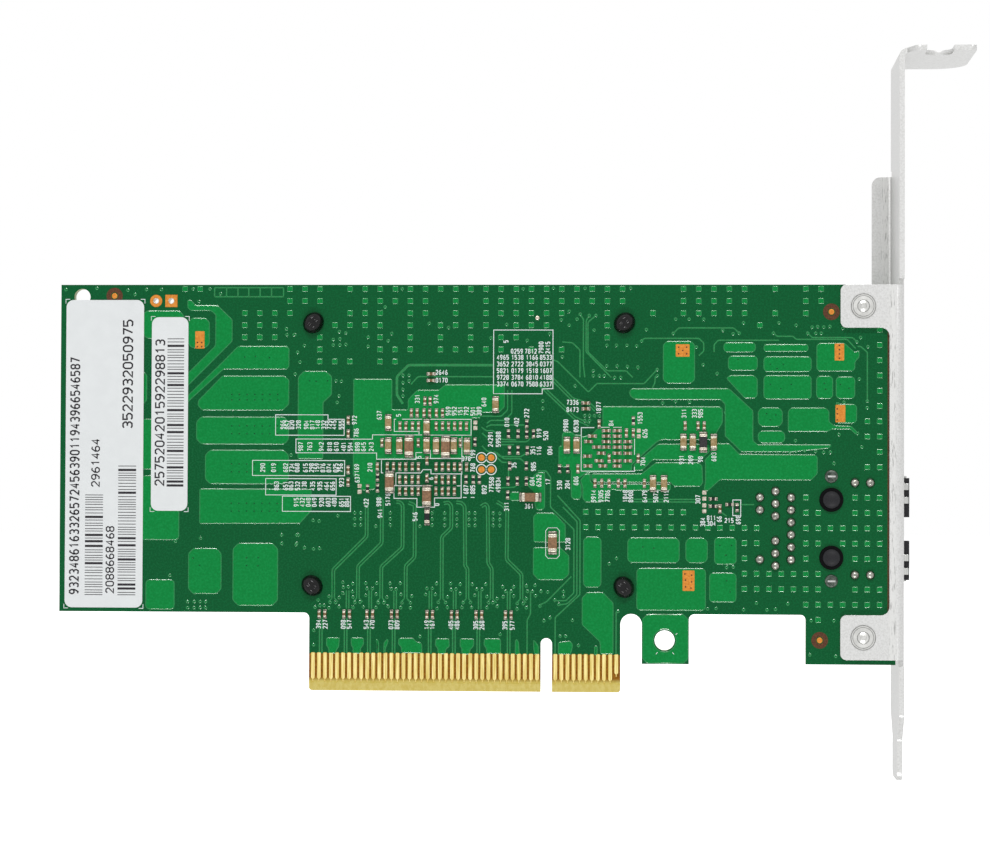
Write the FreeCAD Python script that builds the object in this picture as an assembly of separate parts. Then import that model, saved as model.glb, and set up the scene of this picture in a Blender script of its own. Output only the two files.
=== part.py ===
"""Network interface card: a board with an edge connector, one cooled controller,
one copper network port and a full-height slot bracket.

Frame: X runs along the card towards the bracket, Y runs from the solder side to the
component side, and Z points up from the edge connector.  The origin lies on the
solder face, on the centre line of the connector's key notch, at its lower edge.
"""
import FreeCAD, Part
import math
import os

Vector = FreeCAD.Vector

# ---------------------------------------------------------------- driving dimensions, mm
# Board
board_thick = 1.57
board_rear_reach = 80.85        # key notch to the rear edge
board_front_reach = 57.0        # key notch to the edge behind the bracket
board_height = 66.98            # connector edge to the top edge
board_step_height = 12.8        # lower edge of the board behind the connector
step_fillet_r = 0.9

# Edge connector
contact_pitch = 1.0
rear_contacts = 38
front_contacts = 11
key_contact_gap = 3.0           # centre to centre across the key notch
contact_width = 0.7
contact_thick = 0.05
contact_bottom = 1.9
contact_top = 6.3
presence_contact_cut = 1.1      # how much shorter the first contact is
connector_end_margin = 0.65     # last contact's centre to the connector's end
connector_corner_r = 0.5
key_width = 1.9
key_height = 8.84
bevel_height = 1.3
bevel_depth = 0.4

# Hold-down tab, relief and foot in front of the connector
slot_width = 3.52
relief_height = 12.9
hold_tab_width = 7.7
hold_tab_bottom = 4.73
hold_hole_r = 1.64
hold_hole_height = 8.6
relief_width = 19.05
relief_corner_r = 0.9
foot_bottom = 4.83

# Small holes in the board
corner_hole_r = 1.35
corner_hole_inset = 3.55
corner_hole_drop = 2.02
header_hole_r = 0.5
header_pitch = 2.54
header_inset = 15.9             # rear edge to the first header hole
header_drop = 2.68              # top edge down to the header holes

# Slot bracket, folded from one sheet
sheet_thick = 0.86
bend_r = 0.4                    # inside radius of every fold
bracket_width = 18.42
bracket_height = 120.02
bracket_top = 105.7             # connector edge to the flange's upper face
board_to_wall = 0.55            # board edge to the wall's inner face
mount_tab_length = 10.4         # wall's outer face to the tab's free edge
lip_length = 2.45               # wall's outer face to the lip's free edge
upper_tab_height = 7.05
upper_tab_drop = 0.05           # board's top edge down to the upper tab
lower_tab_height = 7.3
lower_tab_rise = 0.8            # foot's lower edge up to the lower tab
tab_corner_r = 1.0
tab_fillet_r = 1.4
relief_cut = 1.0                # height of the cut beside each fold's end
stiffener_length = 4.1
stiffener_top = 86.4
stiffener_bottom = 8.0
stiffener_corner_r = 1.4
flange_length = 11.43
flange_ear = 3.17               # how far the flange stands past the wall's near edge
flange_corner_r = 5.5
notch_width = 4.42
notch_depth = 6.2
notch_offset = 5.57             # wall's outer face to the notch's centre line
tongue_width = 10.19
shoulder_height = -3.5          # where the wall starts to narrow
tongue_corner_r = 1.6

# Rivets through the tabs
rivet_shank_r = 1.2
rivet_head_r = 1.85
rivet_head_height = 0.45
rivet_foot_r = 2.1
rivet_foot_height = 0.6
rivet_inset = 3.7               # tab's free edge to the rivet
rivet_clear = 0.05

# Network port
port_height = 27.0              # connector edge to the port's centre line
shield_width = 17.4
shield_depth = 13.4             # board's component face to the shield's top
shield_sheet = 0.3
shield_rear = 33.0
shield_leg_x = 46.57
shield_leg_width = 1.3
shield_leg_splay = 0.25
port_proud = 0.95               # how far the port stands in front of the bracket
window_clear = 0.25
housing_clear = 0.05
housing_back = 44.9
post_x = 46.57
post_r = 1.6
post_hole_r = 1.8
post_spacing = 9.47
post_length = 0.45              # how far the posts pass the solder face
plug_width = 11.8
plug_height = 6.8
plug_depth = 13.5
plug_rise = 3.7                 # board's component face to the plug cavity
latch_width = 6.4
latch_height = 1.7
latch_slot_width = 3.86
latch_slot_length = 4.0
port_contact_count = 8
port_contact_pitch = 1.02
port_contact_width = 0.45
port_contact_thick = 0.35
finger_width = 1.07
finger_gap = 1.15
light_width = 3.2
light_height = 2.3
light_leg_inset = 1.17          # shield's side to the light's legs
light_shift = 1.3               # light's legs to the light pipe's centre line
light_rise = 0.5
light_leg_x = 50.39
light_leg_pitch = 2.51
block_clear = 0.4               # board to the underside of the transformer block

# Pins of the port and their solder
pin_width = 0.46
pin_length = 0.95               # how far the pins pass the solder face
pin_hole_r = 0.45
pin_column_x = 34.92
pin_column_pitch = 2.54
pin_half_pitch = 1.016
solder_r = 0.72
solder_top_r = 0.34
solder_height = 0.7

# Heatsink over the controller and the line driver
cooler_x = -13.0
cooler_pin_drop = 6.31          # board's top edge to the upper push pins
cooler_pin_rise = 4.47          # board's lower edge beside the connector to the lower push pins
cooler_pin_spacing_x = 51.4
cooler_pin_margin = 4.0
cooler_base_thick = 2.6
cooler_depth = 11.6             # underside of the base to the fin tips
fin_count = 18
fin_thick = 1.0
fin_pocket = 8.6                # square pocket in the fins over each push pin
controller_size = 25.0
controller_x = -19.0
controller_rise = 0.63          # cooler's centre line to the chips' centre line
driver_size = 13.0
driver_x = 9.6
package_substrate = 1.2
package_height = 2.6
package_lid_inset = 2.2
thermal_pad_thick = 0.4

# Push pins and their springs
push_shank_r = 1.5
push_hole_r = 1.62
push_head_r = 3.3
push_head_height = 1.5
push_barb_r = 1.9
push_barb_height = 1.9
push_slit = 0.5
spring_length = 5.0
spring_r = 2.35
spring_wire = 0.5
spring_turn_count = 3
spring_step_count = 9           # straight steps in one turn of the coil

# Sides of small round things that are hidden or filled
shank_side_count = 12
pin_side_count = 6
solder_side_count = 8

# Labels on the solder side
label_thick = 0.1
label_corner_r = 1.2
large_label_width = 13.0
large_label_drop = 2.53         # board's top edge to the label
large_label_rise = 0.65         # board's lower edge to the label
large_label_inset = 7.4         # rear edge to the label's centre line
small_label_width = 6.1
small_label_height = 32.1
small_label_inset = 18.28
small_label_drop = 5.38

# Chip parts: length, width, height
small_chip = (1.0, 0.5, 0.5)
large_chip = (2.1, 1.05, 0.95)
wide_chip = (3.0, 1.5, 1.2)
broad_chip = (2.85, 1.45, 1.1)
bead_chip = (2.7, 1.3, 1.0)
long_resistor = (2.1, 0.85, 0.55)
long_resistor_x = -19.7
long_resistor_rise = -10.9      # controller's centre line to the long resistor
wide_chip_x = 1.0
wide_chip_rise = -15.1          # controller's centre line to the largest capacitor
bead_x = 25.65
bead_rise = 1.5                 # controller's centre line to the filter bead
chip_cap_length = 0.25          # metal end of a large chip, as a share of its length
chip_cap_swell = 0.04
resistor_height_share = 0.7     # resistor's height, as a share of a small capacitor's

# Larger parts on the component side
inductor_size = 7.0
inductor_height = 4.0
inductor_corner = 0.9
polymer_r = 3.15
polymer_height = 5.8
polymer_base = 6.6
polymer_base_height = 1.0
regulator_size = 5.0
regulator_height = 0.9
memory_length = 5.2
memory_width = 5.3
memory_height = 1.8
memory_lead_reach = 1.25
memory_lead_thick = 0.2
crystal_length = 5.0
crystal_width = 3.2
crystal_height = 1.2
crystal_corner = 0.4

# ---------------------------------------------------------------- sizes worked out from them
front_face = board_thick
board_rear = -board_rear_reach
board_front = board_front_reach
connector_front = key_contact_gap / 2 + (front_contacts - 1) * contact_pitch + connector_end_margin
connector_rear = -(key_contact_gap / 2 + (rear_contacts - 1) * contact_pitch + connector_end_margin)
hold_tab_rear = connector_front + slot_width
hold_tab_front = hold_tab_rear + hold_tab_width
foot_rear = hold_tab_front + relief_width
hold_hole_x = hold_tab_rear + hold_tab_width / 2 - 0.12

wall_inner = board_front + board_to_wall
wall_outer = wall_inner + sheet_thick
near_y = -sheet_thick
far_y = near_y + bracket_width
bracket_bottom = bracket_top - bracket_height
outer_bend_r = bend_r + sheet_thick
tab_free_x = wall_outer - mount_tab_length
lip_free_x = wall_outer - lip_length
upper_tab_top = board_height - upper_tab_drop
upper_tab_bottom = upper_tab_top - upper_tab_height
lower_tab_bottom = foot_bottom + lower_tab_rise
lower_tab_top = lower_tab_bottom + lower_tab_height
rivet_x = tab_free_x + rivet_inset
upper_rivet_z = upper_tab_bottom + upper_tab_height / 2
lower_rivet_z = lower_tab_bottom + lower_tab_height / 2

shield_top = front_face + shield_depth
shield_front = wall_inner - 0.25
housing_width = shield_width - 2 * shield_sheet - 2 * housing_clear
light_offset = shield_width / 2 - light_leg_inset
housing_top = shield_top - shield_sheet - housing_clear
port_face = wall_outer + port_proud
plug_floor = front_face + plug_rise
plug_roof = plug_floor + plug_height
plug_back = port_face - plug_depth

package_top = front_face + package_height
cooler_base = package_top + thermal_pad_thick
cooler_base_top = cooler_base + cooler_base_thick
cooler_tip = cooler_base + cooler_depth
lower_push_z = board_step_height + cooler_pin_rise
upper_push_z = board_height - cooler_pin_drop
cooler_pin_spacing_z = upper_push_z - lower_push_z
cooler_z = (upper_push_z + lower_push_z) / 2
controller_z = cooler_z + controller_rise
large_label_height = board_height - large_label_drop - board_step_height - large_label_rise
large_label_z = board_height - large_label_drop - large_label_height / 2
small_label_z = board_height - small_label_drop - small_label_height / 2
cooler_length = cooler_pin_spacing_x + 2 * cooler_pin_margin
cooler_width = cooler_pin_spacing_z + 2 * cooler_pin_margin


# ---------------------------------------------------------------- general shapes
def box(x0, x1, y0, y1, z0, z1):
    """Block between two corners."""
    return Part.makeBox(x1 - x0, y1 - y0, z1 - z0, Vector(x0, y0, z0))


def rod(x, z, radius, y0, y1):
    """Cylinder along Y."""
    return Part.makeCylinder(radius, y1 - y0, Vector(x, y0, z), Vector(0, 1, 0))


def flat_sided(x, z, stations, sides):
    """Low-sided stand of polygons along Y, from (radius, y) stations."""
    rings = []
    for radius, y in stations:
        ring = []
        for i in range(sides):
            angle = 2 * math.pi * (i + 0.5) / sides
            ring.append(Vector(x + radius * math.cos(angle), y, z + radius * math.sin(angle)))
        rings.append(ring)
    faces = [closed_face(rings[0]), closed_face(rings[-1])]
    for low, high in zip(rings, rings[1:]):
        for i in range(sides):
            j = (i + 1) % sides
            faces.append(closed_face([low[i], low[j], high[j], high[i]]))
    return Part.makeSolid(Part.makeShell(faces))


def closed_face(points):
    """Flat face through the points."""
    return Part.Face(Part.makePolygon(points + points[:1]))


def turned(profile, x, z):
    """Solid turned about the line along Y through (x, z), from (radius, y) points."""
    points = [Vector(x + radius, y, z) for radius, y in profile]
    return closed_face(points).revolve(Vector(x, 0, z), Vector(0, 1, 0), 360)


def corner_arc(before, corner, after, radius):
    """Tangent points of a corner's fillet and the middle of its arc."""
    to_before = (before - corner).normalize()
    to_after = (after - corner).normalize()
    half = to_before.getAngle(to_after) / 2
    reach = radius / math.tan(half)
    middle = (to_before + to_after).normalize() * (radius / math.sin(half) - radius)
    return corner + to_before * reach, corner + middle, corner + to_after * reach


def rounded_face(corners, place):
    """Flat face from (a, b, radius) corners; place turns (a, b) into a point."""
    points = [place(a, b) for a, b, radius in corners]
    edges = []
    starts = []
    ends = []
    for i, (a, b, radius) in enumerate(corners):
        if radius > 0:
            start, middle, end = corner_arc(points[i - 1], points[i], points[(i + 1) % len(points)], radius)
            edges.append(Part.Arc(start, middle, end).toShape())
        else:
            start = end = points[i]
        starts.append(start)
        ends.append(end)
    for i in range(len(corners)):
        here, there = ends[i], starts[(i + 1) % len(corners)]
        if here.distanceToPoint(there) > 1e-6:
            edges.append(Part.LineSegment(here, there).toShape())
    return Part.Face(Part.Wire(Part.__sortEdges__(edges)))


def plate_xz(corners, y0, y1):
    """Plate whose outline lies in XZ, between two Y planes."""
    face = rounded_face(corners, lambda x, z: Vector(x, y0, z))
    return face.extrude(Vector(0, y1 - y0, 0))


def plate_xy(corners, z0, z1):
    """Plate whose outline lies in XY, between two Z planes."""
    face = rounded_face(corners, lambda x, y: Vector(x, y, z0))
    return face.extrude(Vector(0, 0, z1 - z0))


def plate_yz(corners, x0, x1):
    """Plate whose outline lies in YZ, between two X planes."""
    face = rounded_face(corners, lambda y, z: Vector(x0, y, z))
    return face.extrude(Vector(x1 - x0, 0, 0))


def rectangle(a0, a1, b0, b1, radius=0):
    """Corners of a rectangle, all with one radius."""
    return [(a0, b0, radius), (a1, b0, radius), (a1, b1, radius), (a0, b1, radius)]


def clipped(a0, a1, b0, b1, cut):
    """Corners of a rectangle with its four corners cut off."""
    return [
        (a0 + cut, b0, 0), (a1 - cut, b0, 0), (a1, b0 + cut, 0), (a1, b1 - cut, 0),
        (a1 - cut, b1, 0), (a0 + cut, b1, 0), (a0, b1 - cut, 0), (a0, b0 + cut, 0),
    ]


def fused(solids):
    """One clean solid from solids that touch or overlap."""
    whole = solids[0]
    if len(solids) > 1:
        whole = whole.fuse(solids[1:])
    return whole.removeSplitter()


# ---------------------------------------------------------------- places of repeated things
def contact_places():
    """X of every edge contact, first the short run and then the long one."""
    front = [key_contact_gap / 2 + i * contact_pitch for i in range(front_contacts)]
    rear = [-key_contact_gap / 2 - i * contact_pitch for i in range(rear_contacts)]
    return front[::-1] + rear


def push_pin_places():
    """Centres of the four push pins."""
    dx, dz = cooler_pin_spacing_x / 2, cooler_pin_spacing_z / 2
    return [(cooler_x + sx * dx, cooler_z + sz * dz) for sx in (-1, 1) for sz in (-1, 1)]


def signal_pin_places():
    """Centres of the port's signal pins, in three staggered columns."""
    columns = ((5, 3, -5), (6, 4, 2, -2, -4, -6), (5, 3, 1, -1, -3, -5))
    places = []
    for column, steps in enumerate(columns):
        x = pin_column_x + column * pin_column_pitch
        places += [(x, port_height + step * pin_half_pitch) for step in steps]
    return places


def light_leg_places():
    """Centres of the legs of the two status lights."""
    xs = (light_leg_x, light_leg_x + light_leg_pitch)
    return [(x, port_height + side * light_offset) for side in (1, -1) for x in xs]


def post_places():
    """Centres of the housing's two locating posts."""
    return [(post_x, port_height + side * post_spacing / 2) for side in (1, -1)]


def shield_leg_z(side):
    """Middle of a shield leg, in the plane of the shield's side wall."""
    return port_height + side * (shield_width / 2 - shield_sheet / 2)


def rivet_places():
    """Centres of the two rivets."""
    return [(rivet_x, upper_rivet_z), (rivet_x, lower_rivet_z)]


def hidden_hole(x, z, radius, y0, y1, sides):
    """Cutter for a filled hole: a low-sided prism that clears the radius."""
    corner = radius / math.cos(math.pi / sides)
    return flat_sided(x, z, ((corner, y0), (corner, y1)), sides)


# ---------------------------------------------------------------- board
def board_outline():
    """Corners of the board, clockwise from the upper rear one, each with its radius."""
    slot_r = slot_width / 2
    key_r = key_width / 2
    return [
        (board_rear, board_height, 0),
        (board_front, board_height, 0),
        (board_front, foot_bottom, 0),
        (foot_rear, foot_bottom, 0),
        (foot_rear, relief_height, relief_corner_r),
        (hold_tab_front, relief_height, relief_corner_r),
        (hold_tab_front, hold_tab_bottom, 0),
        (hold_tab_rear, hold_tab_bottom, 0),
        (hold_tab_rear, relief_height, slot_r),
        (connector_front, relief_height, slot_r),
        (connector_front, 0, connector_corner_r),
        (key_r, 0, 0),
        (key_r, key_height, key_r),
        (-key_r, key_height, key_r),
        (-key_r, 0, 0),
        (connector_rear, 0, connector_corner_r),
        (connector_rear, board_step_height, step_fillet_r),
        (board_rear, board_step_height, 0),
    ]


def connector_bevels():
    """Two wedges that thin the connector's lower edge."""
    wedges = []
    for face_y, inward in ((0, 1), (board_thick, -1)):
        points = [
            Vector(connector_rear - 1, face_y - inward, bevel_height),
            Vector(connector_rear - 1, face_y, bevel_height),
            Vector(connector_rear - 1, face_y + inward * bevel_depth, 0),
            Vector(connector_rear - 1, face_y + inward * bevel_depth, -1),
            Vector(connector_rear - 1, face_y - inward, -1),
        ]
        wedges.append(closed_face(points).extrude(Vector(connector_front - connector_rear + 2, 0, 0)))
    return wedges


def board_holes():
    """Every hole through the board."""
    rounds = [(hold_hole_x, hold_hole_height, hold_hole_r)]
    rounds.append((board_rear + corner_hole_inset, board_height - corner_hole_drop, corner_hole_r))
    rounds += [(x, z, post_hole_r) for x, z in post_places()]
    tools = [rod(x, z, r, -1, board_thick + 1) for x, z, r in rounds]
    small = []
    for i in range(2):
        x = board_rear + header_inset + i * header_pitch
        small.append((x, board_height - header_drop, header_hole_r))
    small += [(x, z, pin_hole_r) for x, z in signal_pin_places() + light_leg_places()]
    tools += [hidden_hole(x, z, r, -1, board_thick + 1, pin_side_count) for x, z, r in small]
    filled = [(x, z, push_hole_r) for x, z in push_pin_places()]
    filled += [(x, z, rivet_shank_r + rivet_clear) for x, z in rivet_places()]
    tools += [hidden_hole(x, z, r, -1, board_thick + 1, shank_side_count) for x, z, r in filled]
    half_x = shield_leg_width / 2 + 0.2
    half_z = shield_sheet / 2 + 0.2
    for side in (1, -1):
        z = shield_leg_z(side)
        slot = rectangle(shield_leg_x - half_x, shield_leg_x + half_x, z - half_z, z + half_z)
        tools.append(plate_xz(slot, -1, board_thick + 1))
    return tools


def circuit_board():
    """Board with its connector, notches and holes."""
    blank = plate_xz(board_outline(), 0, board_thick)
    return blank.cut(connector_bevels() + board_holes())


def edge_contacts():
    """Gold contacts on both faces of the edge connector."""
    solids = []
    half = contact_width / 2
    for i, x in enumerate(contact_places()):
        low = contact_bottom + (presence_contact_cut if i == 0 else 0)
        solids.append(box(x - half, x + half, -contact_thick, 0, low, contact_top))
        far = board_thick + contact_thick
        solids.append(box(x - half, x + half, board_thick, far, contact_bottom, contact_top))
    return solids


# ---------------------------------------------------------------- bracket
def fold_section(y_edge, inward, length):
    """L-shaped section of the wall with one flange folded back towards the board."""
    end = wall_outer - length
    across = y_edge + inward * (outer_bend_r + 0.5)
    return [
        (end, y_edge, 0),
        (wall_outer, y_edge, outer_bend_r),
        (wall_outer, across, 0),
        (wall_inner, across, 0),
        (wall_inner, y_edge + inward * sheet_thick, bend_r),
        (end, y_edge + inward * sheet_thick, 0),
    ]


def wall_outline():
    """Wall with its lower tongue, as corners in YZ."""
    middle = (near_y + far_y) / 2
    near_tongue = middle - tongue_width / 2
    far_tongue = middle + tongue_width / 2
    slope = (bracket_width - tongue_width) / 2
    top = bracket_top - outer_bend_r
    return [
        (near_y, top, 0),
        (far_y, top, 0),
        (far_y, shoulder_height, 0.8),
        (far_tongue, shoulder_height - slope, 0.8),
        (far_tongue, bracket_bottom, tongue_corner_r),
        (near_tongue, bracket_bottom, tongue_corner_r),
        (near_tongue, shoulder_height - slope, 0.8),
        (near_y, shoulder_height, 0.8),
    ]


def flange():
    """Flange folded outwards at the top, with its ear and screw notch."""
    far_x = wall_outer + flange_length
    top = bracket_top
    under = bracket_top - sheet_thick
    start = wall_outer + bend_r
    ear_y = near_y - flange_ear
    plate = plate_xy([
        (start, near_y, 0),
        (start + 1.2, ear_y, 1.0),
        (far_x, ear_y, 0.8),
        (far_x, far_y, flange_corner_r),
        (start, far_y, 0),
    ], under, top)
    notch_x = wall_outer + notch_offset
    half = notch_width / 2
    notch = plate_xy([
        (notch_x - half, ear_y - 1, 0),
        (notch_x + half, ear_y - 1, 0),
        (notch_x + half, ear_y + notch_depth, half),
        (notch_x - half, ear_y + notch_depth, half),
    ], under - 1, top + 1)
    return plate.cut(notch)


def flange_bend():
    """Quarter-round bend between the wall and the flange."""
    centre_x = wall_outer + bend_r
    centre_z = bracket_top - outer_bend_r
    arcs = []
    for radius in (bend_r, outer_bend_r):
        start = Vector(centre_x - radius, near_y, centre_z)
        middle = Vector(centre_x - radius * math.sqrt(0.5), near_y, centre_z + radius * math.sqrt(0.5))
        end = Vector(centre_x, near_y, centre_z + radius)
        arcs.append((start, middle, end))
    inner, outer = arcs
    edges = [
        Part.Arc(*inner).toShape(),
        Part.LineSegment(inner[2], outer[2]).toShape(),
        Part.Arc(*outer).toShape(),
        Part.LineSegment(outer[0], inner[0]).toShape(),
    ]
    face = Part.Face(Part.Wire(Part.__sortEdges__(edges)))
    return face.extrude(Vector(0, bracket_width, 0))


def mount_tabs():
    """Lip on the solder face with a riveted tab at each end, flat part only."""
    inner_x = wall_outer - outer_bend_r
    return plate_xz([
        (tab_free_x, upper_tab_top, tab_corner_r),
        (inner_x, upper_tab_top, 0),
        (inner_x, lower_tab_bottom, 0),
        (tab_free_x, lower_tab_bottom, tab_corner_r),
        (tab_free_x, lower_tab_top, tab_corner_r),
        (lip_free_x, lower_tab_top, tab_fillet_r),
        (lip_free_x, upper_tab_bottom, tab_fillet_r),
        (tab_free_x, upper_tab_bottom, tab_corner_r),
    ], near_y, 0)


def bracket():
    """Slot bracket folded from one sheet."""
    wall = plate_yz(wall_outline(), wall_inner, wall_outer)
    near_height = (lower_tab_bottom, upper_tab_top)
    far_height = (stiffener_bottom, stiffener_top)
    cuts = []
    for y_edge, inward, (low, high) in ((near_y, 1, near_height), (far_y, -1, far_height)):
        deep = y_edge + inward * (outer_bend_r + 0.3)
        outside = y_edge - inward
        span = sorted((outside, deep))
        cuts.append(box(wall_inner - 1, wall_outer + 1, *span, low - relief_cut, high + relief_cut))
    wall = wall.cut(cuts)
    near_fold = plate_xy(fold_section(near_y, 1, outer_bend_r), *near_height)
    far_fold = plate_xy(fold_section(far_y, -1, stiffener_length), *far_height)
    free_x = wall_outer - stiffener_length
    rounded = rectangle(free_x, wall_outer + 5, *far_height, stiffener_corner_r)
    far_fold = far_fold.common(plate_xz(rounded, far_y - stiffener_length, far_y + 1))
    body = fused([wall, near_fold, far_fold, mount_tabs(), flange_bend(), flange()])
    half = shield_width / 2 + window_clear
    window = box(wall_inner - 1, wall_outer + 1, front_face - shield_sheet - 2 * window_clear,
                 shield_top + window_clear, port_height - half, port_height + half)
    radius = rivet_shank_r + rivet_clear
    holes = [hidden_hole(x, z, radius, near_y - 1, 1, shank_side_count) for x, z in rivet_places()]
    return body.cut([window] + holes)


def rivets():
    """Two rivets that hold the bracket to the board."""
    head = [
        (0, near_y - rivet_head_height),
        (rivet_head_r * 0.8, near_y - rivet_head_height),
        (rivet_head_r, near_y),
        (0, near_y),
    ]
    foot = ((rivet_foot_r, front_face), (rivet_foot_r * 0.7, front_face + rivet_foot_height))
    shank = ((rivet_shank_r, near_y), (rivet_shank_r, front_face))
    solids = []
    for x, z in rivet_places():
        low_sided = [flat_sided(x, z, stations, shank_side_count) for stations in (shank, foot)]
        solids.append(fused([turned(head, x, z)] + low_sided))
    return solids


# ---------------------------------------------------------------- network port
def port_housing():
    """Moulded housing with the plug cavity, the latch channel, light pockets and posts."""
    half = housing_width / 2
    body = plate_yz([
        (front_face, port_height - half, 0),
        (housing_top, port_height - half, 0),
        (housing_top, port_height + half, 0),
        (front_face, port_height + half, 0),
    ], housing_back, port_face)
    mouth = port_face + 1
    plug = box(plug_back, mouth, plug_floor, plug_roof,
               port_height - plug_width / 2, port_height + plug_width / 2)
    channel = box(plug_back, mouth, plug_floor - latch_height, plug_floor + 1,
                  port_height - latch_width / 2, port_height + latch_width / 2)
    slot = box(port_face - latch_slot_length, mouth, front_face - 1, plug_floor,
               port_height - latch_slot_width / 2, port_height + latch_slot_width / 2)
    body = body.cut([plug, channel, slot] + light_pockets())
    posts = []
    for x, z in post_places():
        posts.append(turned([
            (0, -post_length),
            (post_r, -post_length),
            (post_r, front_face + 0.5),
            (0, front_face + 0.5),
        ], x, z))
    return fused([body] + posts)


def light_pockets():
    """Two pockets that hold the status lights, open to the board at the back."""
    tools = []
    for side in (1, -1):
        z = port_height + side * (light_offset - light_shift)
        span = (z - light_width / 2 - housing_clear, z + light_width / 2 + housing_clear)
        low = front_face + light_rise - housing_clear
        high = front_face + light_rise + light_height + housing_clear
        back = light_leg_x - 1.2
        tools.append(box(back, port_face + 1, low, high, *span))
        tools.append(box(back, light_leg_x + light_leg_pitch + 1, front_face - 1, high, *span))
    return tools


def status_lights():
    """Two clear light pipes beside the latch channel."""
    solids = []
    for side in (1, -1):
        z = port_height + side * (light_offset - light_shift)
        low = front_face + light_rise
        outline = [
            (light_leg_x - 1, low, 0),
            (port_face, low, 0),
            (port_face, low + light_height, 0),
            (light_leg_x, low + light_height, 0),
            (light_leg_x - 1, low + light_height - 1, 0),
        ]
        solids.append(plate_xy(outline, z - light_width / 2, z + light_width / 2))
    return solids


def port_shield():
    """Folded shield: roof, two sides and back, with legs and contact fingers."""
    half = shield_width / 2
    outer = box(shield_rear, shield_front, front_face, shield_top, port_height - half, port_height + half)
    t = shield_sheet
    inner = box(shield_rear + t, shield_front + 1, front_face - 1, shield_top - t,
                port_height - half + t, port_height + half - t)
    pieces = [outer.cut(inner)]
    for side in (1, -1):
        z = shield_leg_z(side)
        leg = rectangle(shield_leg_x - shield_leg_width / 2, shield_leg_x + shield_leg_width / 2,
                        -pin_length, front_face + 0.5)
        face = rounded_face([(a, b, 0) for a, b, r in leg], lambda x, y: Vector(x, y, z - t / 2))
        pieces.append(face.extrude(Vector(0, 0, t)))
    return fused(pieces + shield_fingers())


def shield_fingers():
    """Strips that reach through the bracket's window on all four sides."""
    half = shield_width / 2
    t = shield_sheet
    tip = port_face - 0.15
    back = board_front + 0.2
    low = front_face - t - housing_clear
    strips = []
    for side in (1, -1):
        wall_z = sorted((port_height + side * half, port_height + side * (half - t)))
        strips.append(box(back, shield_front, low, front_face + 1, *wall_z))
        for y in (front_face + 3.5, front_face + 7.5):
            strips.append(box(shield_front - 0.5, tip, y, y + 2 * finger_width, *wall_z))
    for i in range(3):
        z = port_height + (i - 1) * 5
        strips.append(box(shield_front - 0.5, tip, shield_top - t, shield_top, z - finger_width, z + finger_width))
    strips.append(box(back, shield_front, low, front_face - housing_clear, port_height - half, port_height + half))
    for side in (1, -1):
        for step in (0, 1):
            outer_edge = housing_width / 2 - 0.89 - step * (finger_width + finger_gap)
            span = sorted((port_height + side * outer_edge, port_height + side * (outer_edge - finger_width)))
            strips.append(box(shield_front - 0.2, tip, low, front_face - housing_clear, *span))
    return strips


def port_contacts():
    """Spring contacts that hang from the cavity's roof."""
    t = port_contact_thick
    root = plug_roof
    front = port_face - 2.5
    bend = port_face - 4.2
    end = plug_back + 1.6
    dip = root - 2.1
    outline = [
        (front, root, 0),
        (front, root - t, 0),
        (bend, root - t, 0),
        (end, dip, 0),
        (end - 0.1, dip + t, 0),
        (bend - 0.3, root, 0),
    ]
    solids = []
    for i in range(port_contact_count):
        z = port_height + (i - (port_contact_count - 1) / 2) * port_contact_pitch
        solids.append(plate_xy(outline, z - port_contact_width / 2, z + port_contact_width / 2))
    return solids


def port_transformer_block():
    """Potted block with the port's transformers, behind the housing."""
    half = shield_width / 2 - shield_sheet - housing_clear
    low = front_face + block_clear
    high = shield_top - shield_sheet - housing_clear
    outline = rectangle(shield_rear + shield_sheet + housing_clear, housing_back, low, high, 0)
    return plate_xy(outline, port_height - half, port_height + half)


def port_pins():
    """Signal pins from the transformer block and legs of the status lights."""
    half = pin_width / 2
    solids = []
    for x, z in signal_pin_places():
        solids.append(box(x - half, x + half, 0, front_face + block_clear, z - half, z + half))
    for x, z in light_leg_places():
        solids.append(box(x - half, x + half, 0, front_face + light_rise, z - half, z + half))
    return solids


def solder_joints():
    """Solder on the solder face over every pin, drawn up to the pin's tip."""
    stations = ((solder_top_r, -solder_height), (solder_r * 0.62, -solder_height * 0.5), (solder_r, 0))
    solids = [flat_sided(x, z, stations, solder_side_count) for x, z in signal_pin_places() + light_leg_places()]
    reach = shield_leg_width / 2
    wide = ((solder_top_r + reach, -solder_height), (solder_r + reach, 0))
    for side in (1, -1):
        z = shield_leg_z(side)
        t = shield_sheet / 2
        joint = flat_sided(shield_leg_x, z, wide, solder_side_count)
        leg = box(shield_leg_x - reach, shield_leg_x + reach, -2, 1, z - t, z + t)
        solids.append(joint.cut(leg))
    return solids


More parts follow.
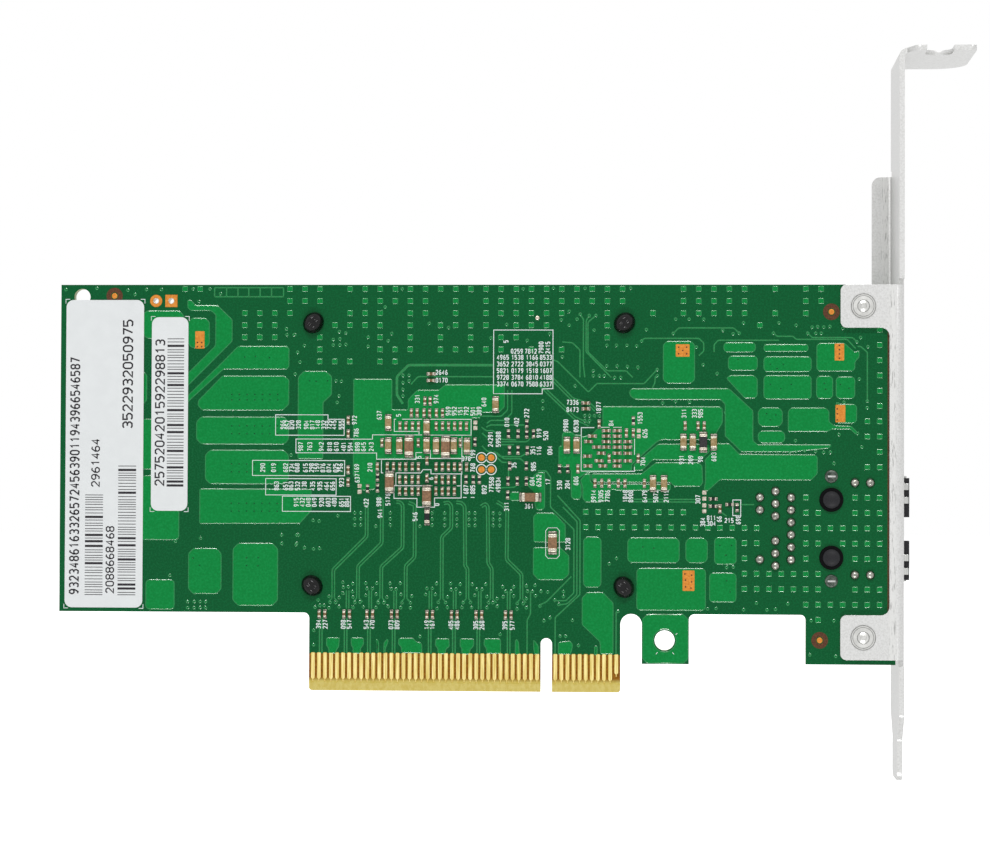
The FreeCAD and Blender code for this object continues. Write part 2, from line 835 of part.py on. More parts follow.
# ---------------------------------------------------------------- cooling
def heatsink():
    """Base plate with straight fins along the card and a pocket over each push pin."""
    low = cooler_z - cooler_width / 2
    high = cooler_z + cooler_width / 2
    pitch = (cooler_width - fin_thick) / (fin_count - 1)
    section = [(cooler_base, low, 0), (cooler_base, high, 0)]
    for i in range(fin_count):
        edge = high - i * pitch
        section.append((cooler_tip, edge, 0))
        section.append((cooler_tip, edge - fin_thick, 0))
        if i < fin_count - 1:
            section.append((cooler_base_top, edge - fin_thick, 0))
            section.append((cooler_base_top, edge - pitch, 0))
    rear = cooler_x - cooler_length / 2
    front = cooler_x + cooler_length / 2
    body = plate_yz(section, rear, front)
    span = (cooler_base - 1, cooler_base_top + 1)
    tools = [hidden_hole(x, z, push_hole_r, *span, shank_side_count) for x, z in push_pin_places()]
    for x, z in push_pin_places():
        x_out = rear - 1 if x < cooler_x else front + 1
        z_out = low - 1 if z < cooler_z else high + 1
        half = fin_pocket / 2
        x_span = sorted((x_out, x + half if x < cooler_x else x - half))
        z_span = sorted((z_out, z + half if z < cooler_z else z - half))
        tools.append(box(*x_span, cooler_base_top, cooler_tip + 1, *z_span))
    return body.cut(tools)


def push_pins():
    """Push pins with a barbed, slit tip behind the board and a round head."""
    head = cooler_base_top + spring_length
    tip = ((push_shank_r * 0.6, -push_barb_height), (push_barb_r, push_shank_r - push_barb_r), (push_shank_r, 0))
    shank = ((push_shank_r, 0), (push_shank_r, head))
    cap = ((push_head_r, head), (push_head_r, head + push_head_height))
    solids = []
    for x, z in push_pin_places():
        pin = fused([flat_sided(x, z, stations, shank_side_count) for stations in (tip, shank, cap)])
        slit = box(x - push_slit / 2, x + push_slit / 2, -push_barb_height - 1, 0,
                   z - push_barb_r - 1, z + push_barb_r + 1)
        solids.append(pin.cut(slit))
    return solids


def coil(x, z, low, high):
    """Coil of square wire in straight steps, between two levels."""
    half = spring_wire / 2
    steps = spring_turn_count * spring_step_count
    rings = []
    for i in range(steps + 1):
        angle = 2 * math.pi * i / spring_step_count
        y = low + half + (high - low - spring_wire) * i / steps
        ring = []
        for out, up in ((-half, -half), (half, -half), (half, half), (-half, half)):
            reach = spring_r + out
            ring.append(Vector(x + reach * math.cos(angle), y + up, z + reach * math.sin(angle)))
        rings.append(ring)
    faces = [closed_face(rings[0]), closed_face(rings[-1])]
    for here, there in zip(rings, rings[1:]):
        for i in range(4):
            j = (i + 1) % 4
            faces.append(closed_face([here[i], here[j], there[j]]))
            faces.append(closed_face([here[i], there[j], there[i]]))
    return Part.makeSolid(Part.makeShell(faces))


def push_pin_springs():
    """Coil spring under each push pin's head."""
    return [coil(x, z, cooler_base_top, cooler_base_top + spring_length) for x, z in push_pin_places()]


def chip_package(x, z, size):
    """Flat ball-grid package: a square substrate with a raised lid."""
    half = size / 2
    lid = half - package_lid_inset
    base = plate_xz(rectangle(x - half, x + half, z - half, z + half), front_face, front_face + package_substrate)
    top = plate_xz(rectangle(x - lid, x + lid, z - lid, z + lid), front_face + package_substrate, package_top)
    return fused([base, top])


def thermal_pads():
    """Soft pads between the two chips and the heatsink."""
    solids = []
    for x, z, size in ((controller_x, controller_z, controller_size), (driver_x, controller_z, driver_size)):
        half = size / 2 - package_lid_inset
        solids.append(box(x - half, x + half, package_top, cooler_base, z - half, z + half))
    return solids


# ---------------------------------------------------------------- chip parts
# Rows on the solder side: height above the controller's centre line, and the places
# along X.  The parts in these rows stand with their length along Z.
grid_rear = (-24.25, -23.25, -22.17, -21.17)
grid_front = (-18.25, -17.2, -16.2, -15.2)
standing_rows = (
    (8.14, (-20.13, -19.27)),
    (6.2, (-22.36, -21.41, -20.27, -19.35, -18.22, -17.21)),
    (4.05, grid_rear + grid_front + (-14.25, -13.25)),
    (1.27, (-27.2, -21.2, -14.28)),
    (-1.65, (-19.75, )),
    (-4.57, (-19.75, )),
    (-2.67, (-26.3, -25.28) + grid_rear + grid_front + (-14.25, -13.2)),
    (-4.8, grid_rear + grid_front),
    (-6.7, grid_rear + grid_front),
    (-5.3, (7.92, 9.04, 10.25, 11.76, 12.84, 16.04)),
    (4.45, (8.6, )),
    (4.2, (22.7, 24.8, 25.8)),
    (3.0, (13.06, 14.2)),
    (-1.2, (10.25, 15.0)),
    (-2.92, (5.12, )),
    (4.96, (-32.8, )),
    (2.75, (-32.8, )),
    (-2.7, (-27.95, )),
    (-3.2, (-32.8, )),
    (-5.25, (-32.8, )),
    (-9.4, (28.4, )),
)
# Parts in these rows lie with their length along X.
lying_rows = (
    (12.64, (-19.12, )),
    (11.55, (-19.12, )),
    (7.88, (6.39, )),
    (6.94, (6.39, )),
    (3.35, (9.78, 11.55)),
    (2.45, (7.48, 9.78, 11.55)),
    (1.55, (6.84, 9.78, 11.55, 13.27)),
    (0.65, (8.18, 9.78, 11.55, 13.27)),
    (-0.35, (8.94, 11.55, 13.27)),
    (-0.85, (6.67, )),
    (-1.6, (8.6, 11.55, 13.27)),
    (-2.45, (6.75, 9.2, 11.55)),
)
coupling_rows = ((12.6, (-37.46, -33.38, -29.56, -25.5, -19.65, -15.6, -11.55, -6.7)), )
coupling_pair_pitch = 0.93
# Larger capacitors that stand along Z: place along X, height above the controller's centre line.
large_standing = (
    (-26.15, 4.6), (-26.15, 0.8), (-24.3, 0.8), (-19.8, 3.85), (-19.8, 0.85), (-18.22, 0.8),
    (-15.31, 0.8), (-13.14, 0.75), (-8.45, 7.6), (3.3, 0.95), (4.89, 0.95), (22.41, 1.5),
    (23.95, 1.5), (27.37, 1.5), (17.45, -5.3), (19.25, -5.3),
)
broad_standing = ((-22.7, 0.67), (-16.67, 0.6), (-25.9, -5.24), (-19.75, -7.5))
broad_lying = ((-2.7, -7.63), )
resistor_places = (
    (-3.31, 4.45), (-6.33, 2.82), (-4.75, 2.82), (-3.31, 2.75), (-2.2, 2.82), (-6.15, 0.1),
    (-4.75, 0.1), (-3.22, 0.05), (-6.11, -2.48), (-3.36, -2.48), (-6.39, -5.0), (-4.85, -5.0),
    (-3.35, -5.0), (-6.42, -7.27), (14.2, 5.0), (2.1, -2.92), (3.45, -2.92), (-11.85, 1.45),
    (-13.3, -4.75), (-12.1, -4.75), (-11.1, -4.75), (-27.92, -4.4), (-27.92, -6.2), (-29.57, -6.3),
    (31.2, -9.2),
)
resistor_lying = ((27.3, -7.8), (27.3, -9), (30.0, -8.7))
# Rows of chip parts on the component side: share of the board's height, first and last
# place along X, and the spacing.
face_capacitor_rows = (
    (0.8883, -58.0, -46.0, 3.0), (0.4927, -58.0, -46.0, 3.0), (0.6509, 21.0, 36.0, 3.0),
    (0.2986, 20.0, 29.0, 3.0), (0.9331, 22.0, 42.0, 4.0),
)
face_resistor_rows = (
    (0.5599, 22.0, 31.0, 3.0), (0.2538, -60.0, -48.0, 3.0), (0.2389, 22.0, 28.0, 3.0),
)


def row_places(first, last, spacing):
    """Evenly spaced places from first to last."""
    steps = round((last - first) / spacing)
    return [first + i * spacing for i in range(steps + 1)]


def solder_side_chip(x, z, size, along_z):
    """Plain chip part on the solder face."""
    length, width, height = size
    dx, dz = (width / 2, length / 2) if along_z else (length / 2, width / 2)
    return box(x - dx, x + dx, -height, 0, z - dz, z + dz)


def face_side_chip(x, z, size, along_z):
    """Plain chip part on the component face."""
    length, width, height = size
    dx, dz = (width / 2, length / 2) if along_z else (length / 2, width / 2)
    return box(x - dx, x + dx, front_face, front_face + height, z - dz, z + dz)


def capped_chip(x, z, size, along_z):
    """Large chip part on the solder face, with metal ends a little larger than its body."""
    length, width, height = size
    cap = length * chip_cap_length
    swell = chip_cap_swell
    core = solder_side_chip(x, z, (length - cap, width - 2 * swell, height - swell), along_z)
    shift = (length - cap) / 2
    ends = []
    for side in (1, -1):
        dx, dz = (0, side * shift) if along_z else (side * shift, 0)
        ends.append(solder_side_chip(x + dx, z + dz, (cap, width, height), along_z))
    return fused([core] + ends)


def small_chip_capacitors():
    """Small capacitors of the solder side."""
    solids = []
    for rise, places in standing_rows:
        solids += [solder_side_chip(x, controller_z + rise, small_chip, True) for x in places]
    for rise, places in lying_rows:
        solids += [solder_side_chip(x, controller_z + rise, small_chip, False) for x in places]
    for z, places in coupling_rows:
        for x in places:
            solids.append(solder_side_chip(x, z, small_chip, True))
            solids.append(solder_side_chip(x + coupling_pair_pitch, z, small_chip, True))
    return solids


def large_chip_capacitors():
    """Larger capacitors of the solder side."""
    solids = [solder_side_chip(x, controller_z + rise, large_chip, True) for x, rise in large_standing]
    solids += [capped_chip(x, controller_z + rise, broad_chip, True) for x, rise in broad_standing]
    solids += [capped_chip(x, controller_z + rise, broad_chip, False) for x, rise in broad_lying]
    solids.append(capped_chip(wide_chip_x, controller_z + wide_chip_rise, wide_chip, True))
    return solids


def chip_resistors():
    """Resistors of the solder side."""
    length, width, height = small_chip
    flat = (length, width, height * resistor_height_share)
    solids = [solder_side_chip(x, controller_z + rise, flat, True) for x, rise in resistor_places]
    solids += [solder_side_chip(x, controller_z + rise, flat, False) for x, rise in resistor_lying]
    long_z = controller_z + long_resistor_rise
    solids.append(solder_side_chip(long_resistor_x, long_z, long_resistor, True))
    return solids


def ferrite_bead():
    """Dark filter bead between the large capacitors."""
    return capped_chip(bead_x, controller_z + bead_rise, bead_chip, True)


def face_chip_capacitors():
    """Capacitors of the component side."""
    solids = []
    for share, first, last, spacing in face_capacitor_rows:
        for x in row_places(first, last, spacing):
            solids.append(face_side_chip(x, share * board_height, large_chip, True))
    return solids


def face_chip_resistors():
    """Resistors of the component side."""
    solids = []
    for share, first, last, spacing in face_resistor_rows:
        for x in row_places(first, last, spacing):
            solids.append(face_side_chip(x, share * board_height, small_chip, True))
    return solids


# ---------------------------------------------------------------- larger parts
# Places along X, and the share of the board's height.
inductor_places = ((27.0, 0.8211), (37.0, 0.8211), (-60.0, 0.7689))
polymer_places = ((47.0, 0.8361), (47.0, 0.7017), (-71.0, 0.7017))
regulator_places = ((31.0, 0.7166), (40.0, 0.7166), (-60.0, 0.6196))
memory_place = (-58.0, 0.3583)
crystal_places = ((25.5, 0.4628), (25.5, 0.3583))


def power_inductors():
    """Moulded power inductors with rounded upright corners."""
    solids = []
    half = inductor_size / 2
    for x, share in inductor_places:
        z = share * board_height
        outline = clipped(x - half, x + half, z - half, z + half, inductor_corner)
        solids.append(plate_xz(outline, front_face, front_face + inductor_height))
    return solids


def polymer_capacitors():
    """Aluminium cans on square plastic bases."""
    solids = []
    half = polymer_base / 2
    for x, share in polymer_places:
        z = share * board_height
        base = plate_xz([
            (x - half, z - half, 0),
            (x + half - 1.2, z - half, 0),
            (x + half, z - half + 1.2, 0),
            (x + half, z + half - 1.2, 0),
            (x + half - 1.2, z + half, 0),
            (x - half, z + half, 0),
        ], front_face, front_face + polymer_base_height)
        can_low = front_face + polymer_base_height
        can_high = front_face + polymer_height
        can = turned([
            (0, can_low),
            (polymer_r, can_low),
            (polymer_r, can_high),
            (0, can_high),
        ], x, z)
        solids.append(fused([base, can]))
    return solids


def regulator_chips():
    """Flat leadless regulator packages."""
    half = regulator_size / 2
    solids = []
    for x, share in regulator_places:
        z = share * board_height
        outline = rectangle(x - half, x + half, z - half, z + half)
        solids.append(plate_xz(outline, front_face, front_face + regulator_height))
    return solids


def memory_chip():
    """Small memory package with four bent leads on each side."""
    x, share = memory_place
    z = share * board_height
    low = front_face + 0.15
    mid = front_face + memory_height / 2
    top = front_face + memory_height
    half = memory_width / 2
    body = plate_xy([
        (x - half, low, 0),
        (x + half, low, 0),
        (x + half + 0.1, mid, 0),
        (x + half, top, 0),
        (x - half, top, 0),
        (x - half - 0.1, mid, 0),
    ], z - memory_length / 2, z + memory_length / 2)
    t = memory_lead_thick
    leads = []
    for side in (1, -1):
        root = half - 0.2
        bend = half + 0.45
        foot = half + memory_lead_reach
        path = [
            (root, mid + t / 2), (bend, mid + t / 2), (bend + t, front_face + t), (foot, front_face + t),
            (foot, front_face), (bend, front_face), (bend - t, mid - t / 2), (root, mid - t / 2),
        ]
        for i in range(4):
            lead_z = z + (i - 1.5) * 1.27
            outline = [(x + side * a, b, 0) for a, b in path]
            leads.append(plate_xy(outline, lead_z - 0.2, lead_z + 0.2))
    return fused([body] + leads)


def crystals():
    """Metal crystal packages with rounded lids."""
    solids = []
    for x, share in crystal_places:
        z = share * board_height
        dx, dz = crystal_length / 2, crystal_width / 2
        outline = clipped(x - dx, x + dx, z - dz, z + dz, crystal_corner)
        solids.append(plate_xz(outline, front_face, front_face + crystal_height))
    return solids


def label(inset, z, width, height):
    """Paper label with rounded corners on the solder face."""
    x = board_rear + inset
    outline = rectangle(x - width / 2, x + width / 2, z - height / 2, z + height / 2, label_corner_r)
    return plate_xz(outline, -label_thick, 0)


# ---------------------------------------------------------------- the whole card
def nodes():
    """Every node with its solids."""
    return {
        "circuit_board": circuit_board(),
        "edge_contacts": edge_contacts(),
        "bracket": bracket(),
        "rivets": rivets(),
        "port_housing": port_housing(),
        "port_shield": port_shield(),
        "port_contacts": port_contacts(),
        "port_transformer_block": port_transformer_block(),
        "port_pins": port_pins(),
        "status_lights": status_lights(),
        "solder_joints": solder_joints(),
        "heatsink": heatsink(),
        "push_pins": push_pins(),
        "push_pin_springs": push_pin_springs(),
        "network_controller": chip_package(controller_x, controller_z, controller_size),
        "line_driver": chip_package(driver_x, controller_z, driver_size),
        "thermal_pads": thermal_pads(),
        "large_label": label(large_label_inset, large_label_z, large_label_width, large_label_height),
        "small_label": label(small_label_inset, small_label_z, small_label_width, small_label_height),
        "small_chip_capacitors": small_chip_capacitors(),
        "large_chip_capacitors": large_chip_capacitors(),
        "chip_resistors": chip_resistors(),
        "ferrite_bead": ferrite_bead(),
        "face_chip_capacitors": face_chip_capacitors(),
        "face_chip_resistors": face_chip_resistors(),
        "power_inductors": power_inductors(),
        "polymer_capacitors": polymer_capacitors(),
        "regulator_chips": regulator_chips(),
        "memory_chip": memory_chip(),
        "crystals": crystals(),
    }


def main():
    os.makedirs("parts", exist_ok=True)
    for name, shape in nodes().items():
        if isinstance(shape, list):
            shape = Part.makeCompound(shape)
        shape.exportStep("parts/%s.step" % name)
        print("%-24s solids %3d  volume %9.2f  valid %s"
              % (name, len(shape.Solids), shape.Volume, shape.isValid()))


main()
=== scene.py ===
"""Looks of a network interface card: solder mask, copper, legend print, gold, soldered
chip parts, cooler, network port, labels and slot bracket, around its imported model.

All places are in the card's own frame: X towards the bracket, Y from the solder side to
the component side, Z up from the edge connector.  Shapes are worked out in millimetres.
"""

import math
from types import SimpleNamespace

import bmesh
import bpy
import numpy as np
from bpy.props import FloatProperty, FloatVectorProperty, PointerProperty
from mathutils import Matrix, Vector


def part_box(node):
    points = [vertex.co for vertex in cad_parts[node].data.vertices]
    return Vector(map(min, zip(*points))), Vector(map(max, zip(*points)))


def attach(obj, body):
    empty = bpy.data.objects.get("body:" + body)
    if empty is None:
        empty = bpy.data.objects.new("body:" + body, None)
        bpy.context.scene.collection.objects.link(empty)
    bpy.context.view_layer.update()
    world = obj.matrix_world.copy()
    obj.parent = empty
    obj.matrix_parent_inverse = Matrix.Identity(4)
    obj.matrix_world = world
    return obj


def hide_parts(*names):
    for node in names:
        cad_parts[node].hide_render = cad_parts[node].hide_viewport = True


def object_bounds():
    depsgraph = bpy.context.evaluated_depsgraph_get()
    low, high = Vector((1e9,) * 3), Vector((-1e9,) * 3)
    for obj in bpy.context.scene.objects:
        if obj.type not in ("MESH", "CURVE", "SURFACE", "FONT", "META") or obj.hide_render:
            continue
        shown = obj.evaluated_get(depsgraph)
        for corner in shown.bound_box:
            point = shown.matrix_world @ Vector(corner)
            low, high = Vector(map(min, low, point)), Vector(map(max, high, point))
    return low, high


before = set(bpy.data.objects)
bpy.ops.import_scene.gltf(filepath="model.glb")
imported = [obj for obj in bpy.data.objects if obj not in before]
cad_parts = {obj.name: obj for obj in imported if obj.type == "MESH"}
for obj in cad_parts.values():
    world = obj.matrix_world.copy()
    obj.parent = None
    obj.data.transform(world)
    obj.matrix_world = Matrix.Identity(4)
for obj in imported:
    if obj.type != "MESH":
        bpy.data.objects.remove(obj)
cad_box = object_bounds()

bl_info = {
    "name": "Network Interface Card Looks",
    "version": (1, 0, 0),
    "blender": (4, 5, 0),
    "location": "View3D > Sidebar > Card",
    "description": "Builds the visible surfaces of a network interface card",
    "category": "Object",
}

MM = 0.001
TAU = 2 * math.pi
SUNK = -0.01    # how far a surface on the board starts below the board's face, mm


# ---------------------------------------------------------------- places from the frame, mm
def node_box(name):
    """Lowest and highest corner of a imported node, in millimetres."""
    low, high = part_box(name)
    return np.array(low) / MM, np.array(high) / MM


def node_points(name):
    """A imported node's points as rows of X, Y and Z, in millimetres."""
    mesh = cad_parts[name].data
    points = np.empty(len(mesh.vertices) * 3)
    mesh.vertices.foreach_get("co", points)
    return points.reshape(-1, 3) / MM


def flat_middle(low, high):
    """X and Z of the middle of a box."""
    return [(low[0] + high[0]) / 2, (low[2] + high[2]) / 2]


def solids_of(name):
    """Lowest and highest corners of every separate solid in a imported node.

    Corners of triangles that share a place are one point, and points joined by a
    triangle belong together, so labels are lowered along the triangles until they rest.
    """
    mesh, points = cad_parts[name].data, node_points(name)
    mesh.calc_loop_triangles()
    corners = np.empty(len(mesh.loop_triangles) * 3, int)
    mesh.loop_triangles.foreach_get("vertices", corners)
    same = np.unique(np.round(points, 3), axis=0, return_inverse=True)[1].reshape(-1)
    triangles = same[corners.reshape(-1, 3)]
    label = np.arange(same.max() + 1)
    while True:
        lowest = label[triangles].min(axis=1)
        lowered = label.copy()
        for side in range(3):
            np.minimum.at(lowered, triangles[:, side], lowest)
        if (lowered == label).all():
            break
        label = lowered
    owner = label[same]
    boxes = [(points[owner == k].min(axis=0), points[owner == k].max(axis=0)) for k in np.unique(owner)]
    return np.array(boxes)


BOARD_LOW, BOARD_HIGH = node_box("circuit_board")
SOLDER_FACE = BOARD_LOW[1]
PART_FACE = BOARD_HIGH[1]


# ---------------------------------------------------------------- shapes as whole arrays
class Shape:
    """Points and faces of one piece, gathered from several surfaces."""

    def __init__(self):
        self.points = []
        self.faces = []
        self.count = 0

    def add(self, points, faces):
        """Adds a surface: points are rows of x, y, z, and faces index them."""
        points = np.asarray(points, float).reshape(-1, 3)
        self.points.append(points)
        for group in faces:
            self.faces += (np.asarray(group) + self.count).tolist()
        self.count += len(points)


def grid_faces(rows, columns, closed_columns=False):
    """Four-sided faces of a grid whose points run column by column along each row."""
    across = columns if closed_columns else columns - 1
    i, j = np.meshgrid(np.arange(rows - 1), np.arange(across), indexing="ij")
    near = i * columns + j
    beside = i * columns + (j + 1) % columns
    return np.stack([near, beside, beside + columns, near + columns], axis=-1).reshape(-1, 4)


def soften(points, reach, steps=4, closed=True):
    """Rounds the corners of an outline.

    Each corner is swapped for the quadratic curve from a point short of it to a point
    past it, where short is the reach or 0.45 of the side, whichever is less.
    """
    p = np.asarray(points, float)
    before, after = np.roll(p, 1, axis=0), np.roll(p, -1, axis=0)
    to_before, to_after = before - p, after - p
    lengths = np.linalg.norm(to_before, axis=1), np.linalg.norm(to_after, axis=1)
    cut = [np.minimum(reach / np.maximum(n, 1e-9), 0.45)[:, None] for n in lengths]
    start, end = p + to_before * cut[0], p + to_after * cut[1]
    t = np.linspace(0, 1, steps)[None, :, None]
    curve = (1 - t) ** 2 * start[:, None] + 2 * t * (1 - t) * p[:, None] + t ** 2 * end[:, None]
    if closed:
        return curve.reshape(-1, 2)
    return np.concatenate([p[:1], curve[1:-1].reshape(-1, 2), p[-1:]])


def offset(outline, distance, closed=True):
    """Points of an outline moved sideways: along the sum of both sides' normals, over its projection."""
    p = np.asarray(outline, float)
    ahead = np.roll(p, -1, axis=0) - p
    if not closed:
        ahead[-1] = ahead[-2]
    ahead /= np.maximum(np.linalg.norm(ahead, axis=1), 1e-9)[:, None]
    behind = np.roll(ahead, 1, axis=0)
    if not closed:
        behind[0] = ahead[0]
    n0 = np.stack([-behind[:, 1], behind[:, 0]], axis=1)
    n1 = np.stack([-ahead[:, 1], ahead[:, 0]], axis=1)
    whole = n0 + n1
    scale = np.maximum(1 + (n0 * n1).sum(axis=1), 0.4)
    return p + whole * (distance / scale)[:, None]


def turns_left(outline):
    """The outline, reversed if it runs clockwise, by the sign of its area."""
    p = np.asarray(outline, float)
    area = (p[:, 0] * np.roll(p[:, 1], -1) - p[:, 1] * np.roll(p[:, 0], -1)).sum()
    return p if area > 0 else p[::-1]


def on_face(flat, height, side="solder"):
    """Points of the board's plane lifted off one of its faces."""
    flat = np.asarray(flat, float)
    y = SOLDER_FACE - height if side == "solder" else PART_FACE + height
    return np.stack([flat[:, 0], np.full(len(flat), y), flat[:, 1]], axis=1)


def plate(shape, outline, height, slope, side="solder", low=SUNK):
    """Thin plate on the board: the outline at its foot, and the outline moved inwards at its top."""
    foot = turns_left(outline)
    top = offset(foot, slope)
    n = len(foot)
    points = np.concatenate([on_face(foot, low, side), on_face(top, height, side)])
    ring = np.arange(n)
    around = np.stack([ring, np.roll(ring, -1), np.roll(ring, -1) + n, ring + n], axis=1)
    shape.add(points, [around, [ring[::-1]], [ring + n]])


def raised(tops, shoulders, outline, height, slope, side="solder"):
    """Mask over copper: a flat top, and a shoulder round it in two steps, the outer one steeper.

    The outer step takes half the slope's width and 0.55 of its height.
    """
    foot = turns_left(outline)
    n = len(foot)
    middle, top = offset(foot, slope / 2), offset(foot, slope)
    levels = [(foot, SUNK), (middle, 0.55 * (height - SUNK) + SUNK), (top, height)]
    rings = [on_face(flat, level, side) for flat, level in levels]
    shoulders.add(np.concatenate(rings), [grid_faces(3, n, True)])
    tops.add(rings[2], [[np.arange(n)]])


def ribbon(shape, path, width, height, slope=0.03, side="solder", closed=False, low=SUNK):
    """Strip along a path: its four-cornered section is carried along, turned to the path's normal."""
    wide = [offset(path, k * width / 2, closed) for k in (-1, 1)]
    narrow = [offset(path, k * (width / 2 - slope), closed) for k in (-1, 1)]
    rails = [(wide[0], low), (narrow[0], height), (narrow[1], height), (wide[1], low)]
    rows = np.stack([on_face(flat, level, side) for flat, level in rails], axis=1)
    n = len(rows)
    faces = [grid_faces(n, 4, True)]
    if closed:
        last, first = 4 * (n - 1), np.arange(4)
        faces.append(np.stack([last + first, last + np.roll(first, -1), np.roll(first, -1), first], axis=1))
    else:
        faces.append([[3, 2, 1, 0], [4 * n - 4, 4 * n - 3, 4 * n - 2, 4 * n - 1]])
    shape.add(rows, faces)


def turned(profile, sides=24, side="solder"):
    """Surface of revolution about the face's normal, from (radius, height) pairs, closed at both ends."""
    profile = np.asarray(profile, float)
    angle = TAU * np.arange(sides) / sides
    y = SOLDER_FACE - profile[:, 1] if side == "solder" else PART_FACE + profile[:, 1]
    points = np.stack([
        profile[:, :1] * np.cos(angle), np.repeat(y[:, None], sides, axis=1), profile[:, :1] * np.sin(angle),
    ], axis=-1).reshape(-1, 3)
    rings = len(profile)
    first = np.arange(sides)[::-1]
    return points, [grid_faces(rings, sides, True), [first], [first[::-1] + sides * (rings - 1)]]


def turned_ring(profile, sides=24, side="solder"):
    """Surface of revolution whose profile is a closed loop, such as a flat ring."""
    profile = np.concatenate([profile, profile[:1]])
    points, faces = turned(profile, sides, side)
    return points, faces[:1]


def blocks(shape, low, high, radius, steps=2):
    """Rounded blocks: each is a sphere whose eight octants are pulled apart to the block's corners.

    A point is the centre, plus the octant's signs times the half size less the radius,
    plus the radius along its direction on the sphere.
    """
    low, high = np.atleast_2d(low).astype(float), np.atleast_2d(high).astype(float)
    radius = np.broadcast_to(np.asarray(radius, float), (len(low),))
    quarter = np.linspace(0, math.pi / 2, steps + 1)
    azimuth = (quarter[None] + np.arange(4)[:, None] * math.pi / 2).reshape(-1)
    middle = np.repeat(np.arange(4) * math.pi / 2 + math.pi / 4, steps + 1)
    polar = np.concatenate([quarter - math.pi / 2, quarter])
    lift = np.repeat([-1.0, 1.0], steps + 1)
    around = np.stack([np.cos(azimuth), np.sin(azimuth)], axis=1)
    signs = np.sign(np.stack([np.cos(middle), np.sin(middle)], axis=1))
    rows, columns = len(polar), len(azimuth)
    direction = np.empty((rows, columns, 3))
    direction[..., :2] = np.cos(polar)[:, None, None] * around[None]
    direction[..., 2] = np.sin(polar)[:, None]
    octant = np.empty_like(direction)
    octant[..., :2] = signs[None]
    octant[..., 2] = lift[:, None]
    half = (high - low) / 2 - radius[:, None]
    centre = (high + low) / 2
    corners = centre[:, None, None] + octant[None] * half[:, None, None]
    points = corners + direction[None] * radius[:, None, None, None]
    step = rows * columns * np.arange(len(low))
    quads = (grid_faces(rows, columns, True)[None] + step[:, None, None]).reshape(-1, 4)
    ends = np.stack([np.arange(columns)[::-1], np.arange(columns) + columns * (rows - 1)])
    caps = (ends[None] + step[:, None, None]).reshape(-1, columns)
    shape.add(points, [quads, caps])


def tube(shape, path, radius, sides=10):
    """Round tube along a path: a circle in the plane across the path's direction at every point."""
    path = np.asarray(path, float)
    ahead = np.gradient(path, axis=0)
    ahead /= np.linalg.norm(ahead, axis=1)[:, None]
    up = np.array([0.0, 1.0, 0.0])
    across = np.cross(ahead, up)
    across /= np.linalg.norm(across, axis=1)[:, None]
    over = np.cross(across, ahead)
    angle = TAU * np.arange(sides) / sides
    rings = path[:, None] + radius * (
        np.cos(angle)[None, :, None] * across[:, None] + np.sin(angle)[None, :, None] * over[:, None])
    first = np.arange(sides)
    n = len(path)
    shape.add(rings, [grid_faces(n, sides, True), [first[::-1]], [first + sides * (n - 1)]])


# ---------------------------------------------------------------- layout of the solder face, mm
def rows(text, width=2):
    """Numbers of a table as an array of rows."""
    return np.array(text.split(), float).reshape(-1, width)


def table_lines(text):
    """Lines of a table; one that starts with a space carries on the line before."""
    return text.strip().replace("\n ", " ").splitlines()


def paths(text):
    """A table's lines as paths of X and Z."""
    return [rows(line) for line in table_lines(text)]


MASK_FOOT = 6.15
BEVEL_TOP = 1.9
BEVEL_BLEND = 0.35
CONNECTOR_END = 13.0
POUR_GROWTH = 0.06      # how far the mask's foot stands out past a pour's outline
WIDE_TRACE_WIDTH = 0.46
LABEL_MARK, LABEL_GAP = 0.7, 0.12       # a label's corner marks: length of a leg, and gap to the label
DOT = 0.97
DOT_CUT = 0.07
DOT_LEVEL_SHARE, DOT_SLOPE_SHARE = 0.75, 0.7    # a dot's height and slope, as shares of a pour's
DOT_PITCH = 2.5
DOT_ROW_PITCH = 2.0
TOP_DOT_X, TOP_DOT_Z = -0.13, 66.3      # column 0 and row 0 of the dots near the top edge
SIDE_DOT_X, SIDE_DOT_Z = 54.42, 59.6    # column 0 and row 0 of the dots towards the bracket
# dots near the top edge: row below the edge, then first and last column of each run
TOP_DOTS = {
    0: "-24 -23 -17 -15 -13 5 9 13 15 15 17 18", 1: "-17 -15 -12 -8 -6 -6 -4 5 9 13 17 18",
    2: "-20 -17 -13 -11 -9 -8 -6 -6 -4 1 4 4 7 7 9 13 15 15 17 17",
    3: "-20 -18 -14 -11 -9 -9 -7 -4 -2 0 4 4 14 14",
    4: "-20 -18 -15 -15 -11 -11 -9 -9 -7 -7 -5 -5 -3 -2 4 4", 5: "-15 -15 -11 -9 -7 -3 -1 -1 1 1",
    6: "-15 -13 -11 -10",
}
# dots towards the bracket: row, then first and last column of each run, counted from the bracket
SIDE_DOTS = {
    0: "0 0", 1: "-1 0", 2: "0 0", 3: "-1 0", 4: "0 0", 5: "-1 0", 6: "0 1", 7: "-1 1", 8: "0 0", 9: "-1 1",
    11: "-1 2 6 6", 12: "0 2 5 6 16 24", 13: "-1 6 10 24", 14: "0 3 5 6 10 11", 15: "-1 2 6 6 11 11",
    16: "5 11", 17: "-1 2 5 11", 18: "0 6", 19: "5 5",
}
